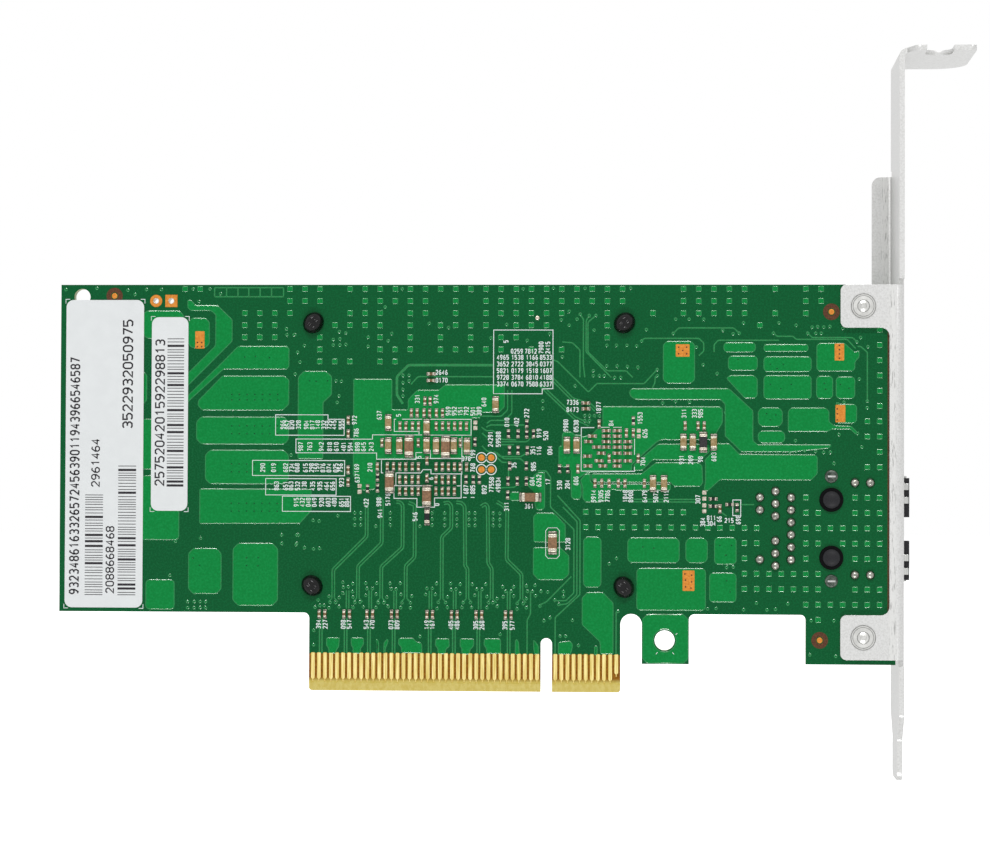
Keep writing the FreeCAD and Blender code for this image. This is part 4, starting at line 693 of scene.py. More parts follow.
# node, finish, the share of its length that each end takes, and material slot
CHIP_PARTS = (
    ("small_chip_capacitors", "brown_ceramic", 0.28, "chip_ceramic"),
    ("large_chip_capacitors", "ceramic", 0.22, "chip_ceramic"),
    ("chip_resistors", "resistor", 0.24, "resistor_ceramic"),
    ("ferrite_bead", "ferrite", 0.2, "ferrite"),
    ("face_chip_capacitors", "ceramic", 0.22, "chip_ceramic"),
    ("face_chip_resistors", "resistor", 0.24, "resistor_ceramic"),
)
BROAD_CHIP = 2.4        # chip capacitors longer than this are of the red-brown batch
CHIP_PROUD = 0.02       # how far a chip's ends stand out past its body
PIN_TURNS = (50, -40, 35, -50)      # how far each push pin is turned about its own line, degrees
BARB_ACROSS, BARB_ALONG = 1.66, 1.86
SPRING_WIRE, SPRING_TURNS = 0.25, 5     # radius of the wire and turns of a push pin's spring


# ---------------------------------------------------------------- pieces
FINISH = {}     # every finish by its name, filled by the first operator


def piece(name, shape, finish_name, replaced=(), smooth=None):
    """Makes an object from a shape, in metres and in place, riding on the card."""
    mesh = bpy.data.meshes.new(name)
    points = np.concatenate(shape.points) * MM
    mesh.from_pydata(points.tolist(), [], shape.faces)
    work = bmesh.new()
    work.from_mesh(mesh)
    bmesh.ops.remove_doubles(work, verts=work.verts, dist=2e-8)
    bmesh.ops.recalc_face_normals(work, faces=work.faces)
    work.to_mesh(mesh)
    work.free()
    mesh.materials.append(FINISH[finish_name])
    if smooth is not None:
        mesh.shade_smooth()
        mesh.set_sharp_from_angle(angle=math.radians(smooth))
    made = bpy.data.objects.new(name, mesh)
    bpy.context.scene.collection.objects.link(made)
    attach(made, "root")
    if replaced:
        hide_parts(*replaced)
    return made


def dress(name, finish_name):
    """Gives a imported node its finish."""
    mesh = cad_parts[name].data
    mesh.materials.clear()
    mesh.materials.append(FINISH[finish_name])


def ease_edges(name, width, angle=35):
    """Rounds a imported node's edges a little with modifiers, which leave its own mesh as it is."""
    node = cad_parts[name]
    weld = node.modifiers.new("weld", "WELD")
    weld.merge_threshold = 1e-6
    bevel = node.modifiers.new("eased_edges", "BEVEL")
    bevel.width = width * MM
    bevel.segments = 2
    bevel.limit_method = "ANGLE"
    bevel.angle_limit = math.radians(angle)
    bevel.use_clamp_overlap = True
    bevel.harden_normals = False


# ---------------------------------------------------------------- materials
def colour(code):
    """An sRGB hex value as linear red, green, blue and alpha."""
    channels = np.array([int(code[i:i + 2], 16) for i in (1, 3, 5)]) / 255
    linear = np.where(channels <= 0.04045, channels / 12.92, ((channels + 0.055) / 1.055) ** 2.4)
    return (*linear.tolist(), 1.0)


def tone(value):
    """A colour for a socket, from a hex value or from a property."""
    return colour(value) if isinstance(value, str) else tuple(value)


def add(tree, kind, inputs=None, **settings):
    """Adds one node, with its settings, its input values and its links."""
    node = tree.nodes.new("ShaderNode" + kind)
    for name, value in settings.items():
        setattr(node, name, value)
    for name, value in (inputs or {}).items():
        if isinstance(value, bpy.types.NodeSocket):
            tree.links.new(value, node.inputs[name])
        else:
            node.inputs[name].default_value = value
    return node


def any_ray(tree, *kinds):
    """1 where a ray is of one of the kinds, and 0 elsewhere."""
    paths = add(tree, "LightPath")
    found = paths.outputs[kinds[0]]
    for kind in kinds[1:]:
        found = add(tree, "Math", {0: found, 1: paths.outputs[kind]}, operation="MAXIMUM").outputs[0]
    return found


def finish(name, base, **inputs):
    """A new material with one principled shader of the base colour.  Returns it, its tree and its shader."""
    material = bpy.data.materials.new(name)
    material.use_nodes = True
    tree = material.node_tree
    tree.nodes.clear()
    values = {key.replace("_", " "): value for key, value in inputs.items()}
    shader = add(tree, "BsdfPrincipled", {"Base Color": tone(base), **values})
    add(tree, "OutputMaterial", {"Surface": shader.outputs["BSDF"]})
    return material, tree, shader


def grain(tree, size, low, high, detail=2.0, stretch=(1, 1, 1), ends=(0.35, 0.65)):
    """Noise on the card's own place, with lumps about so many millimetres across.

    Returns its value, from 0 to 1, and a colour that runs from low to high as the value
    runs from one end to the other.
    """
    place = add(tree, "TexCoord").outputs["Object"]
    there = add(tree, "Mapping", {"Vector": place, "Scale": stretch}).outputs["Vector"]
    lumps = add(tree, "TexNoise", {"Vector": there, "Scale": 1 / (size * MM), "Detail": detail})
    noise = lumps.outputs["Fac"]
    ramp = add(tree, "ValToRGB", {"Fac": noise})
    for stop, position, code in zip(ramp.color_ramp.elements, ends, (low, high)):
        stop.position = position
        stop.color = tone(code)
    return noise, ramp.outputs["Color"]


def worn(tree, shader, pattern, smooth, rough, depth):
    """Makes a surface uneven: the pattern sets its roughness and a bump so many millimetres deep."""
    spread_out = add(tree, "MapRange", {"Value": pattern, "To Min": smooth, "To Max": rough})
    bump = add(tree, "Bump", {"Height": pattern, "Distance": depth * MM})
    tree.links.new(spread_out.outputs["Result"], shader.inputs["Roughness"])
    tree.links.new(bump.outputs["Normal"], shader.inputs["Normal"])


def mask_laminate(look):
    """Liquid solder mask baked on glass laminate."""
    # deep glossy green with a fine paler fleck; the connector's bare laminate is amber, its bevel mustard
    material, tree, shader = finish("solder_mask_on_laminate", look.mask, IOR=1.52, Specular_IOR_Level=0.12)
    pattern, face = grain(tree, 0.32, look.mask, look.mask_fleck, 3.0, ends=(0.42, 0.85))
    place = add(tree, "SeparateXYZ", {"Vector": add(tree, "TexCoord").outputs["Object"]})
    normal = add(tree, "SeparateXYZ", {"Vector": add(tree, "NewGeometry").outputs["Normal"]}).outputs["Y"]
    steep = add(tree, "Math", {0: normal}, operation="ABSOLUTE").outputs[0]
    is_face = add(tree, "Math", {0: steep, 1: 0.6}, operation="GREATER_THAN").outputs[0]
    height, along = place.outputs["Z"], place.outputs["X"]
    low = add(tree, "Math", {0: height, 1: MASK_FOOT * MM}, operation="LESS_THAN").outputs[0]
    behind = add(tree, "Math", {0: along, 1: CONNECTOR_END * MM}, operation="LESS_THAN").outputs[0]
    is_bare = add(tree, "Math", {0: low, 1: behind}, operation="MULTIPLY").outputs[0]
    start, end = (BEVEL_TOP + BEVEL_BLEND) * MM, (BEVEL_TOP - BEVEL_BLEND) * MM
    bevel = add(tree, "MapRange", {"Value": height, "From Min": start, "From Max": end})
    amber = grain(tree, 0.5, "#7A4A0C", "#966216")[1]
    mustard = grain(tree, 0.5, "#C6B154", "#D0BF6A", 3.0, (1, 1, 0.5))[1]
    weave = grain(tree, 0.2, "#6F7A34", "#A9AE62", 2.0, (1, 6, 1))[1]
    bare = add(tree, "Mix", {0: bevel.outputs[0], 6: amber, 7: mustard}, data_type="RGBA").outputs[2]
    front = add(tree, "Mix", {0: is_bare, 6: face, 7: bare}, data_type="RGBA").outputs[2]
    whole = add(tree, "Mix", {0: is_face, 6: weave, 7: front}, data_type="RGBA").outputs[2]
    tree.links.new(whole, shader.inputs["Base Color"])
    worn(tree, shader, pattern, 0.2, 0.34, 0.006)
    return material


def speckled(name, low, high, size, smooth, rough, depth, detail=2.0, stretch=(1, 1, 1), ends=(0.35, 0.65),
             **inputs):
    """A material whose colour, roughness and bump all follow one grain, so many millimetres across."""
    material, tree, shader = finish(name, high, **inputs)
    pattern, shades = grain(tree, size, low, high, detail, stretch, ends)
    tree.links.new(shades, shader.inputs["Base Color"])
    worn(tree, shader, pattern, smooth, rough, depth)
    return material


def bracket_steel(look):
    """Cold-rolled steel, tumbled and nickel plated."""
    # pale satin grey with fine darker pits; along the fold beside the board, a darker band with streaky
    # grain, painted shade of the rolled lip
    material, tree, shader = finish("nickel_plated_steel", look.steel, Metallic=0.7)
    pattern, shades = grain(tree, 0.3, look.steel_pit, look.steel, 4.0, ends=(0.3, 0.6))
    lip_shade_streaks = grain(tree, 0.35, "#9A9A98", "#DEDEDC", 2.0, (2.4, 1, 0.24), (0.34, 0.44))[1]
    place = add(tree, "SeparateXYZ", {"Vector": add(tree, "TexCoord").outputs["Object"]})
    off = add(tree, "Math", {0: place.outputs["X"], 1: BRACKET_FOLD * MM}, operation="SUBTRACT").outputs[0]
    away = add(tree, "Math", {0: off}, operation="ABSOLUTE").outputs[0]
    start, full = LIP_SHADE_START * MM, LIP_SHADE_FULL * MM
    # share of the painted lip shade: none from the start distance off the fold, up to 0.75 within the full
    # distance
    share = add(tree, "MapRange", {"Value": away, "From Min": start, "From Max": full, "To Max": 0.75})
    whole = add(tree, "Mix", {0: share.outputs[0], 6: shades, 7: lip_shade_streaks}, data_type="RGBA").outputs[2]
    tree.links.new(whole, shader.inputs["Base Color"])
    worn(tree, shader, pattern, 0.3, 0.42, 0.003)
    return material


def finishes(look):
    """Every finish on the card, by the name of what it is."""
    return {
        "mask": mask_laminate(look),
        # the same mask over copper foil: brighter green, a little mottled by the brushed copper behind it
        "mask_copper": speckled(
            "solder_mask_on_copper", look.mask_on_copper, look.copper_fleck, 0.35, 0.16, 0.28, 0.004, 3.0,
            ends=(0.42, 0.9), IOR=1.52, Specular_IOR_Level=0.12),
        # the mask drawn thin over a copper edge: paler, and glossy enough to catch a line of light
        "shoulder": speckled("solder_mask_thin_over_edge", "#02783A", "#0A8A46", 0.5, 0.1, 0.22, 0.006, 3.0,
                             IOR=1.52, Specular_IOR_Level=0.45),
        # screened epoxy ink: matt, cool white, a little green where it is thin
        "ink": speckled("screened_epoxy_ink", "#B9D0C4", look.legend, 0.12, 0.5, 0.62, 0.004,
                        ends=(0.15, 0.4)),
        # hard gold plated over nickel: pale warm metal with faint wipe streaks
        "gold": speckled("hard_gold_plating", "#DCC46C", look.gold, 0.22, 0.24, 0.42, 0.004, 3.0,
                         (1, 1, 0.06), Metallic=0.9),
        # the same plating on a contact's sloped rim, painted browner and darker as shade where the edge rolls
        # away from the light
        "gold_rim_painted_shade": speckled("gold_plating_painted_darker_at_edge", "#B6922E", "#CDAE48", 0.22, 0.3, 0.44, 0.004,
                             Metallic=0.8),
        # immersion gold on copper: satin orange metal
        "pad": speckled("immersion_gold", "#C87824", look.pad, 0.3, 0.34, 0.5, 0.01, 3.0, Metallic=0.5),
        # woven glass without mask: brown and matt
        "clearing": speckled("bare_glass_laminate", "#4A2C1C", look.clearing, 0.25, 0.5, 0.7, 0.01,
                             Specular_IOR_Level=0.2),
        # wave solder, tin-rich: bright, froze with soft ripples
        "solder": speckled("wave_solder", "#75746D", look.solder, 0.5, 0.18, 0.34, 0.03, 3.0, Metallic=1.0),
        # hand-soldered leg: solder painted a dull dark grey, a little green, as a painted dark reflection of
        # the board round it
        "leg_solder_painted_dark": speckled("leg_solder_painted_dark_reflection", "#39433C", "#6A726A", 0.5, 0.34, 0.5, 0.02, 3.0,
                                Metallic=0.7),
        # solder paste reflowed under chip ends, painted darker than a wave joint: painted dark reflection and
        # shade round each chip's foot
        "paste": speckled("reflowed_solder_paste", "#55524B", "#A8A397", 0.3, 0.26, 0.44, 0.02, 3.0,
                          Metallic=0.85),
        # tin over nickel on chip parts' ends: pale satin metal, grainy from the oven
        "chip_end": speckled("tinned_chip_end", "#A39A8A", look.chip_end, 0.2, 0.24, 0.4, 0.01, 3.0,
                             Metallic=0.75),
        # fired ceramic of the large chip capacitors: olive tan, matt, with kiln grain
        "ceramic": speckled("fired_capacitor_ceramic", "#8A7448", look.ceramic, 0.35, 0.42, 0.58, 0.01,
                            Specular_IOR_Level=0.3),
        # larger chip capacitors of another batch: red-brown
        "red_ceramic": speckled("fired_red_brown_ceramic", "#745A42", "#967254", 0.35, 0.4, 0.55, 0.01,
                                Specular_IOR_Level=0.3),
        # finer ceramic of the small chip capacitors: brown
        "brown_ceramic": speckled("fired_brown_ceramic", "#5A4230", look.small_ceramic, 0.3, 0.4, 0.55, 0.01,
                                  Specular_IOR_Level=0.3),
        # glass-coated resistor film: black, slightly glossy
        "resistor": speckled("glass_coated_film", "#101012", "#1E1E22", 0.3, 0.25, 0.4, 0.005, IOR=1.5,
                             Specular_IOR_Level=0.3),
        # sintered ferrite: dark grey, matt and pitted
        "ferrite": speckled("sintered_ferrite", "#1C1B1D", "#353335", 0.25, 0.5, 0.7, 0.015, 3.0,
                            Specular_IOR_Level=0.3),
        "steel": bracket_steel(look),
        # turned and headed rivet steel: brighter, with fine turning marks
        "rivet": speckled("headed_rivet_steel", "#C9C9C6", "#D8D8D5", 0.8, 0.26, 0.36, 0.002, Metallic=0.75),
        # painted shade in the grooves of a headed rivet: steel coloured dark
        "groove_shade": speckled("oxide_dark_steel", "#7E7E7C", "#9C9C9A", 0.3, 0.4, 0.6, 0.004, Metallic=0.5),
        # tinned brass shield: cool bright sheet with rolling lines
        "shield": speckled("tinned_brass_shield", "#B9BAB8", "#CFD0CD", 0.4, 0.24, 0.34, 0.002, 3.0,
                           (1, 1, 0.1), Metallic=1.0),
        # gold flashed spring wire
        "contact": speckled("gold_flashed_spring_wire", "#D2A94E", "#EBCF86", 0.2, 0.2, 0.32, 0.004,
                            Metallic=1.0),
        # glass-filled polyester, moulded: near-black, spark-eroded texture
        "port": speckled("moulded_polyester", "#141417", "#1D1D21", 0.14, 0.4, 0.56, 0.008, IOR=1.57,
                         Specular_IOR_Level=0.22),
        # painted shade: the same plastic, matt and nearly black, as a sleeve round each post standing for the
        # depth of its well
        "well": speckled("polyester_painted_shade_in_wells", "#040405", "#08080A", 0.3, 0.6, 0.75, 0.004, IOR=1.57,
                         Specular_IOR_Level=0.06),
        # poured epoxy: black, glossy, level
        "potting": speckled("poured_epoxy", "#0E0E10", "#18181B", 1.2, 0.18, 0.3, 0.01, IOR=1.55),
        # moulded acrylic light pipe: milky and clear
        "light": speckled("moulded_acrylic", "#C9D2C6", "#E4E9E0", 0.6, 0.18, 0.3, 0.01, IOR=1.49),
        # tinned copper pins
        "pin": speckled("tinned_copper_pin", "#B7B5AB", "#E2E0D6", 0.3, 0.22, 0.36, 0.01, Metallic=1.0),
        # extruded aluminium, etched and anodised: satin black with extrusion lines
        "anodised": speckled("black_anodised_aluminium", "#131316", look.anodised, 0.3, 0.34, 0.5, 0.01, 3.0,
                             (0.05, 1, 1), Metallic=0.3),
        # injection moulded nylon: black, slightly waxy
        "nylon": speckled("moulded_nylon", "#050506", "#0B0B0D", 0.4, 0.13, 0.2, 0.004, IOR=1.53,
                          Specular_IOR_Level=0.25),
        # drawn spring wire: bright, with die lines
        "spring": speckled("drawn_spring_wire", "#8E9092", "#C6C8C9", 0.25, 0.2, 0.34, 0.008, Metallic=1.0),
        # transfer-moulded epoxy: charcoal, matt, faint grit of its silica filler
        "epoxy": speckled("transfer_moulded_epoxy", "#17181B", "#242528", 0.16, 0.45, 0.6, 0.012, IOR=1.55,
                          Specular_IOR_Level=0.3),
        # silicone gap filler: pale blue-grey, soft and matt
        "gel": speckled("silicone_gap_filler", "#8C98A6", "#A9B5C2", 0.5, 0.6, 0.75, 0.02, IOR=1.41),
        # coated polyester film: smooth, cool white
        "film": speckled("coated_label_film", "#DFE2E3", look.film, 2.5, 0.38, 0.44, 0.001, IOR=1.5,
                         Specular_IOR_Level=0.3),
        # thermal transfer print: dark resin, slightly glossy
        "print": speckled("thermal_transfer_print", "#45424A", look.print, 0.12, 0.35, 0.5, 0.002,
                          ends=(0.2, 0.4), Specular_IOR_Level=0.2),
        # pressed iron powder in resin: grey, gritty
        "powder": speckled("pressed_iron_powder", "#3E3F42", "#5A5B5E", 0.3, 0.5, 0.68, 0.02, 3.0),
        # drawn aluminium can: pale satin metal
        "can": speckled("drawn_aluminium_can", "#BFC1C2", "#DEE0E1", 0.4, 0.24, 0.38, 0.008, 3.0, (1, 0.1, 1),
                        Metallic=1.0),
        # nickel plated crystal can: bright metal
        "crystal": speckled("nickel_plated_can", "#B5B4AE", "#DAD9D2", 0.5, 0.2, 0.34, 0.008, Metallic=1.0),
    }


# ---------------------------------------------------------------- sizes and colours a user may change
def length(name, description, default):
    """A length property; its default is given in millimetres."""
    return FloatProperty(
        name=name, description=description, default=default * MM, min=0.0, precision=6, subtype="DISTANCE",
        unit="LENGTH")


def shade(name, description, code):
    """A colour property whose default is a hex value."""
    return FloatVectorProperty(
        name=name, description=description, default=colour(code), size=4, subtype="COLOR", min=0.0, max=1.0)


class CardSizes(bpy.types.PropertyGroup):
    """Sizes of the details on the board."""

    copper_height: length("Copper height", "Height of mask over copper above bare mask", 0.062)
    copper_slope: length("Copper slope", "Width of the mask's slope at a copper edge", 0.18)
    trace_width: length("Trace width", "Width of a signal trace", 0.25)
    trace_height: length("Trace height", "Height of the mask over a trace", 0.04)
    pair_gap: length("Pair spacing", "Distance between the middles of two paired traces", 0.42)
    via_radius: length("Via radius", "Radius of a mask-covered via's collar", 0.32)
    legend_width: length("Legend width", "Width of a legend line", 0.15)
    legend_height: length("Legend height", "Height of the legend ink above the board", 0.075)
    digit_height: length("Digit height", "Height of the printed digits", 0.84)
    digit_stroke: length("Digit stroke", "Width of the digits' strokes", 0.155)
    digit_step: length("Digit step", "Distance from one printed digit to the next", 0.52)


class CardColours(bpy.types.PropertyGroup):
    """Colours of the card's finishes."""

    mask: shade("Mask", "Solder mask over bare laminate", "#005329")
    mask_fleck: shade("Mask fleck", "Paler fleck of the mask over laminate", "#066436")
    mask_on_copper: shade("Mask on copper", "Solder mask over copper", "#007F38")
    copper_fleck: shade("Copper fleck", "Fleck of the mask over copper", "#12934A")
    legend: shade("Legend", "Legend ink", "#E4ECEC")
    gold: shade("Contacts", "Hard gold on the edge contacts", "#FAEAA2")
    pad: shade("Bare pads", "Thin gold on bare pads", "#DC9038")
    clearing: shade("Clearing", "Bare laminate round the sighting marks", "#66422C")
    solder: shade("Solder", "Solder joints", "#ABAAA1")
    chip_end: shade("Chip ends", "Tinned ends of the chip parts", "#E2DACA")
    ceramic: shade("Large capacitor body", "Ceramic of the large chip capacitors", "#A8926C")
    small_ceramic: shade("Small capacitor body", "Ceramic of the small chip capacitors", "#8C7250")
    steel: shade("Bracket", "Plated steel of the bracket", "#DADAD9")
    steel_pit: shade("Bracket pits", "Darker pits in the plating", "#CACAC8")
    anodised: shade("Cooler", "Black anodising of the cooler", "#232327")
    film: shade("Label", "Label film", "#E2E5E6")
    print: shade("Print", "Print on the labels", "#2C2A2E")


def own_properties(group):
    """Names of the properties that a group adds to the two that every group has."""
    return group.bl_rna.properties.keys()[2:]


def card_sizes(context):
    """The size properties in millimetres, by name."""
    group = context.scene.card_sizes
    return SimpleNamespace(**{name: getattr(group, name) / MM for name in own_properties(group)})


# ---------------------------------------------------------------- shapes of the card's details
def cut_box(low_x, high_x, low_z, high_z, cut):
    """Outline of a box whose four corners are cut at 45 degrees: each corner is a point either side of it."""
    return np.array([
        (low_x + cut, low_z), (high_x - cut, low_z), (high_x, low_z + cut), (high_x, high_z - cut),
        (high_x - cut, high_z), (low_x + cut, high_z), (low_x, high_z - cut), (low_x, low_z + cut)])


def hold_down(tops, shoulders, height, slope, side="solder"):
    """The hold-down tab's copper: a ring between the hole and a box with cut corners.

    Its outer reach at an angle is the least of the half width over |cos|, the half height
    over |sin|, and their sum less the cut over |cos| + |sin|.
    """
    sides = 72
    angle = TAU * np.arange(sides) / sides
    c, n = np.cos(angle), np.sin(angle)
    wide = np.where(c > 0, HOLD_REACH["front"], HOLD_REACH["rear"])
    high = np.where(n > 0, HOLD_REACH["up"], HOLD_REACH["down"])
    outer = np.minimum(wide / np.maximum(abs(c), 1e-6), high / np.maximum(abs(n), 1e-6))
    outer = np.minimum(outer, (wide + high - HOLD_CUT) / (abs(c) + abs(n)))
    inner = np.full(sides, HOLD_RING)
    levels = ((outer, SUNK), (outer - slope, height), (inner + slope, height), (inner, SUNK))
    ring = [on_face(np.stack([HOLD_HOLE[0] + reach * c, HOLD_HOLE[1] + reach * n], axis=1), level, side)
            for reach, level in levels]
    faces = [grid_faces(2, sides, True)]
    shoulders.add(np.stack(ring[:2]), faces)
    tops.add(np.stack(ring[1:3]), faces)
    shoulders.add(np.stack(ring[2:]), faces)


def via_collar(radius):
    """Profile of a via's raised ring: up from the board, a narrow top, and down into its middle."""
    return [(radius, SUNK), (radius * 0.62, 0.042), (radius * 0.52, 0.042), (radius * 0.32, 0.01)]


def runs(table, column_place, row_place):
    """Places of dots, row by row: every column from the first to the last of each run."""
    found = []
    for row, text in table.items():
        for first, last in rows(text):
            columns = np.arange(first, last + 1)
            found.append(np.stack([column_place(columns), np.full(len(columns), row_place(row))], axis=1))
    return np.concatenate(found)


def dot_places():
    """Places of every copper dot; towards the bracket columns and rows swap their pitches."""
    top = runs(TOP_DOTS, lambda k: TOP_DOT_X + DOT_PITCH * k, lambda j: TOP_DOT_Z - DOT_ROW_PITCH * j)
    side = runs(SIDE_DOTS, lambda k: SIDE_DOT_X - DOT_ROW_PITCH * k, lambda j: SIDE_DOT_Z - DOT_PITCH * j)
    return np.concatenate([top, side])


def pit_places():
    """Places of the specks on the pours: the single ones, and those in rows."""
    spots = [(PIT_START + PIT_PITCH * i, z) for z in rows(PIT_ROWS, 1)[:, 0] for i in range(PIT_COUNT)]
    return np.concatenate([POUR_PITS, spots])


def by_corners(faces):
    """Faces gathered by how many corners they have."""
    counts = {}
    for face in faces:
        counts.setdefault(len(face), []).append(face)
    return list(counts.values())


def scattered(shape, points, faces, places):
    """Adds a copy of a surface at every X, Z, by adding each place to all its points."""
    places = np.asarray(places, float)
    moves = np.stack([places[:, 0], np.zeros(len(places)), places[:, 1]], axis=1)
    step = len(points) * np.arange(len(places))[:, None, None]
    groups = [np.asarray(group) for group in faces]
    copies = [(group[None] + step).reshape(-1, group.shape[-1]) for group in groups]
    shape.add(points[None] + moves[:, None], copies)


def digit(index, height, stroke, step, level, along, side):
    """One digit's strokes as ribbons round the origin; it reads upwards, or along the board where asked."""
    shape = Shape()
    wide = (step - stroke * 1.5) / 0.6
    for path in DIGITS[index]:
        centred = (path - (0.3, 0.5)) * (wide, height - stroke)
        turned_path = centred if along else np.stack([-centred[:, 1], centred[:, 0]], axis=1)
        mirrored = turned_path * ((1, 1) if side == "solder" else (-1, 1))
        ribbon(shape, mirrored, stroke, level, 0.02, side)
    return np.concatenate(shape.points), by_corners(shape.faces)


def numbers(shape, entries, height, level, stroke, step, side="solder", seed=7):
    """Numbers on a face: each entry is X, Z of the middle, digits, and 1 where it reads along the board.

    Digit i of n stands (i - (n - 1) / 2) steps from the middle.  The digits themselves
    are drawn from a seeded sequence and mean nothing.
    """
    choice = np.random.default_rng(seed)
    mirror = 1 if side == "solder" else -1
    spots = {}
    for x, z, count, along in np.asarray(entries, float):
        for i in range(int(count)):
            move = (i - (count - 1) / 2) * step
            place = (x + move * mirror, z) if along else (x, z + move)
            spots.setdefault((int(choice.integers(10)), bool(along)), []).append(place)
    for (index, along), places in sorted(spots.items()):
        scattered(shape, *digit(index, height, stroke, step, level, along, side), places)


def bars(shape, low_x, high_x, low_z, high_z, level, seed):
    """A stack of bars across a label: seeded bars and gaps of one to three modules, thin bars most often."""
    choice = np.random.default_rng(seed)
    dark, clear = choice.choice([1, 1, 1, 1, 1, 1, 3], 200), choice.choice([2, 2, 3, 3], 200)
    steps = BAR_MODULE * np.stack([dark, clear], axis=1)
    edges = low_z + np.concatenate([[0], np.cumsum(steps.reshape(-1))])
    edges = edges[edges < high_z]
    for start, end in zip(edges[0:-1:2], edges[1::2]):
        outline = [(low_x, start), (high_x, start), (high_x, end), (low_x, end)]
        plate(shape, outline, level, 0.005, low=level - 0.02)


def long_axis(box):
    """Whether a chip lies along X (0) or Z (2)."""
    size = box[1] - box[0]
    return 0 if size[0] > size[2] else 2


def chip_shapes(boxes, end_share):
    """Body, metal ends and solder of chip parts, as rounded blocks in the boxes of their solids.

    Along its length a chip is end, body, end; the ends stand proud of the body, and a
    solder fillet lies against each end's foot.
    """
    body, ends, solder = Shape(), Shape(), Shape()
    lows, highs = boxes[:, 0].copy(), boxes[:, 1].copy()
    axis = np.array([long_axis(box) for box in boxes])
    pick = np.arange(len(boxes))
    length = (highs - lows)[pick, axis]
    end = length * end_share
    on_solder_side = highs[:, 1] < 0.2 * PART_FACE + SOLDER_FACE
    inner_low, inner_high = lows + CHIP_PROUD, highs - CHIP_PROUD
    inner_low[pick, axis] = lows[pick, axis] + end * 0.8
    inner_high[pick, axis] = highs[pick, axis] - end * 0.8
    blocks(body, inner_low, inner_high, 0.04, 1)
    reach = 0.5 * end + 0.12
    tall = 0.34 * (highs - lows)[:, 1]
    for at_low_end in (True, False):
        low, high = lows.copy(), highs.copy()
        if at_low_end:
            high[pick, axis] = lows[pick, axis] + end
        else:
            low[pick, axis] = highs[pick, axis] - end
        blocks(ends, low, high, 0.14 * (highs - lows)[:, 1], 2)
        flow_low, flow_high = low.copy(), high.copy()
        if at_low_end:
            flow_low[pick, axis] -= reach
            flow_high[pick, axis] = low[pick, axis] + 0.05
        else:
            flow_low[pick, axis] = high[pick, axis] - 0.05
            flow_high[pick, axis] += reach
        flow_low[:, 1] = np.where(on_solder_side, SOLDER_FACE - tall, PART_FACE - 0.02)
        flow_high[:, 1] = np.where(on_solder_side, SOLDER_FACE + 0.02, PART_FACE + tall)
        flow_low[pick, 2 - axis] -= 0.05
        flow_high[pick, 2 - axis] += 0.05
        blocks(solder, flow_low, flow_high, tall * 0.45, 2)
    return body, ends, solder


def finger(low_x, high_x, low_z, high_z):
    """Outline of a contact: corners cut at its top, drawn in at its foot to the plating tie."""
    middle = (low_x + high_x) / 2
    half_tie = 0.11
    left, right = middle - half_tie, middle + half_tie
    return [
        (left, low_z - 0.45), (right, low_z - 0.45), (right, low_z - 0.05), (high_x - 0.06, low_z + 0.12),
        (high_x, low_z + 0.3), (high_x, high_z - 0.12), (high_x - 0.1, high_z), (low_x + 0.1, high_z),
        (low_x, high_z - 0.12), (low_x, low_z + 0.3), (low_x + 0.06, low_z + 0.12), (left, low_z - 0.05)]


def squared(surface, inside):
    """A ring made square outside a radius: points beyond it move out by 1 / max(|cos|, |sin|)."""
    points, faces = surface
    reach = np.hypot(points[:, 0], points[:, 2])
    stretch = reach / np.maximum(np.abs(points[:, 0]), np.abs(points[:, 2]))
    stretch = np.where(reach > inside, stretch, 1.0)[:, None]
    return np.where([[True, False, True]], points * stretch, points), faces


# ---------------------------------------------------------------- operators
class CARD_OT_finishes(bpy.types.Operator):
    """Makes the card's materials"""

    bl_idname = "card.finishes"
    bl_label = "Finishes"

    def execute(self, context):
        look = context.scene.card_colours
        FINISH.update(finishes(look))
        return {"FINISHED"}


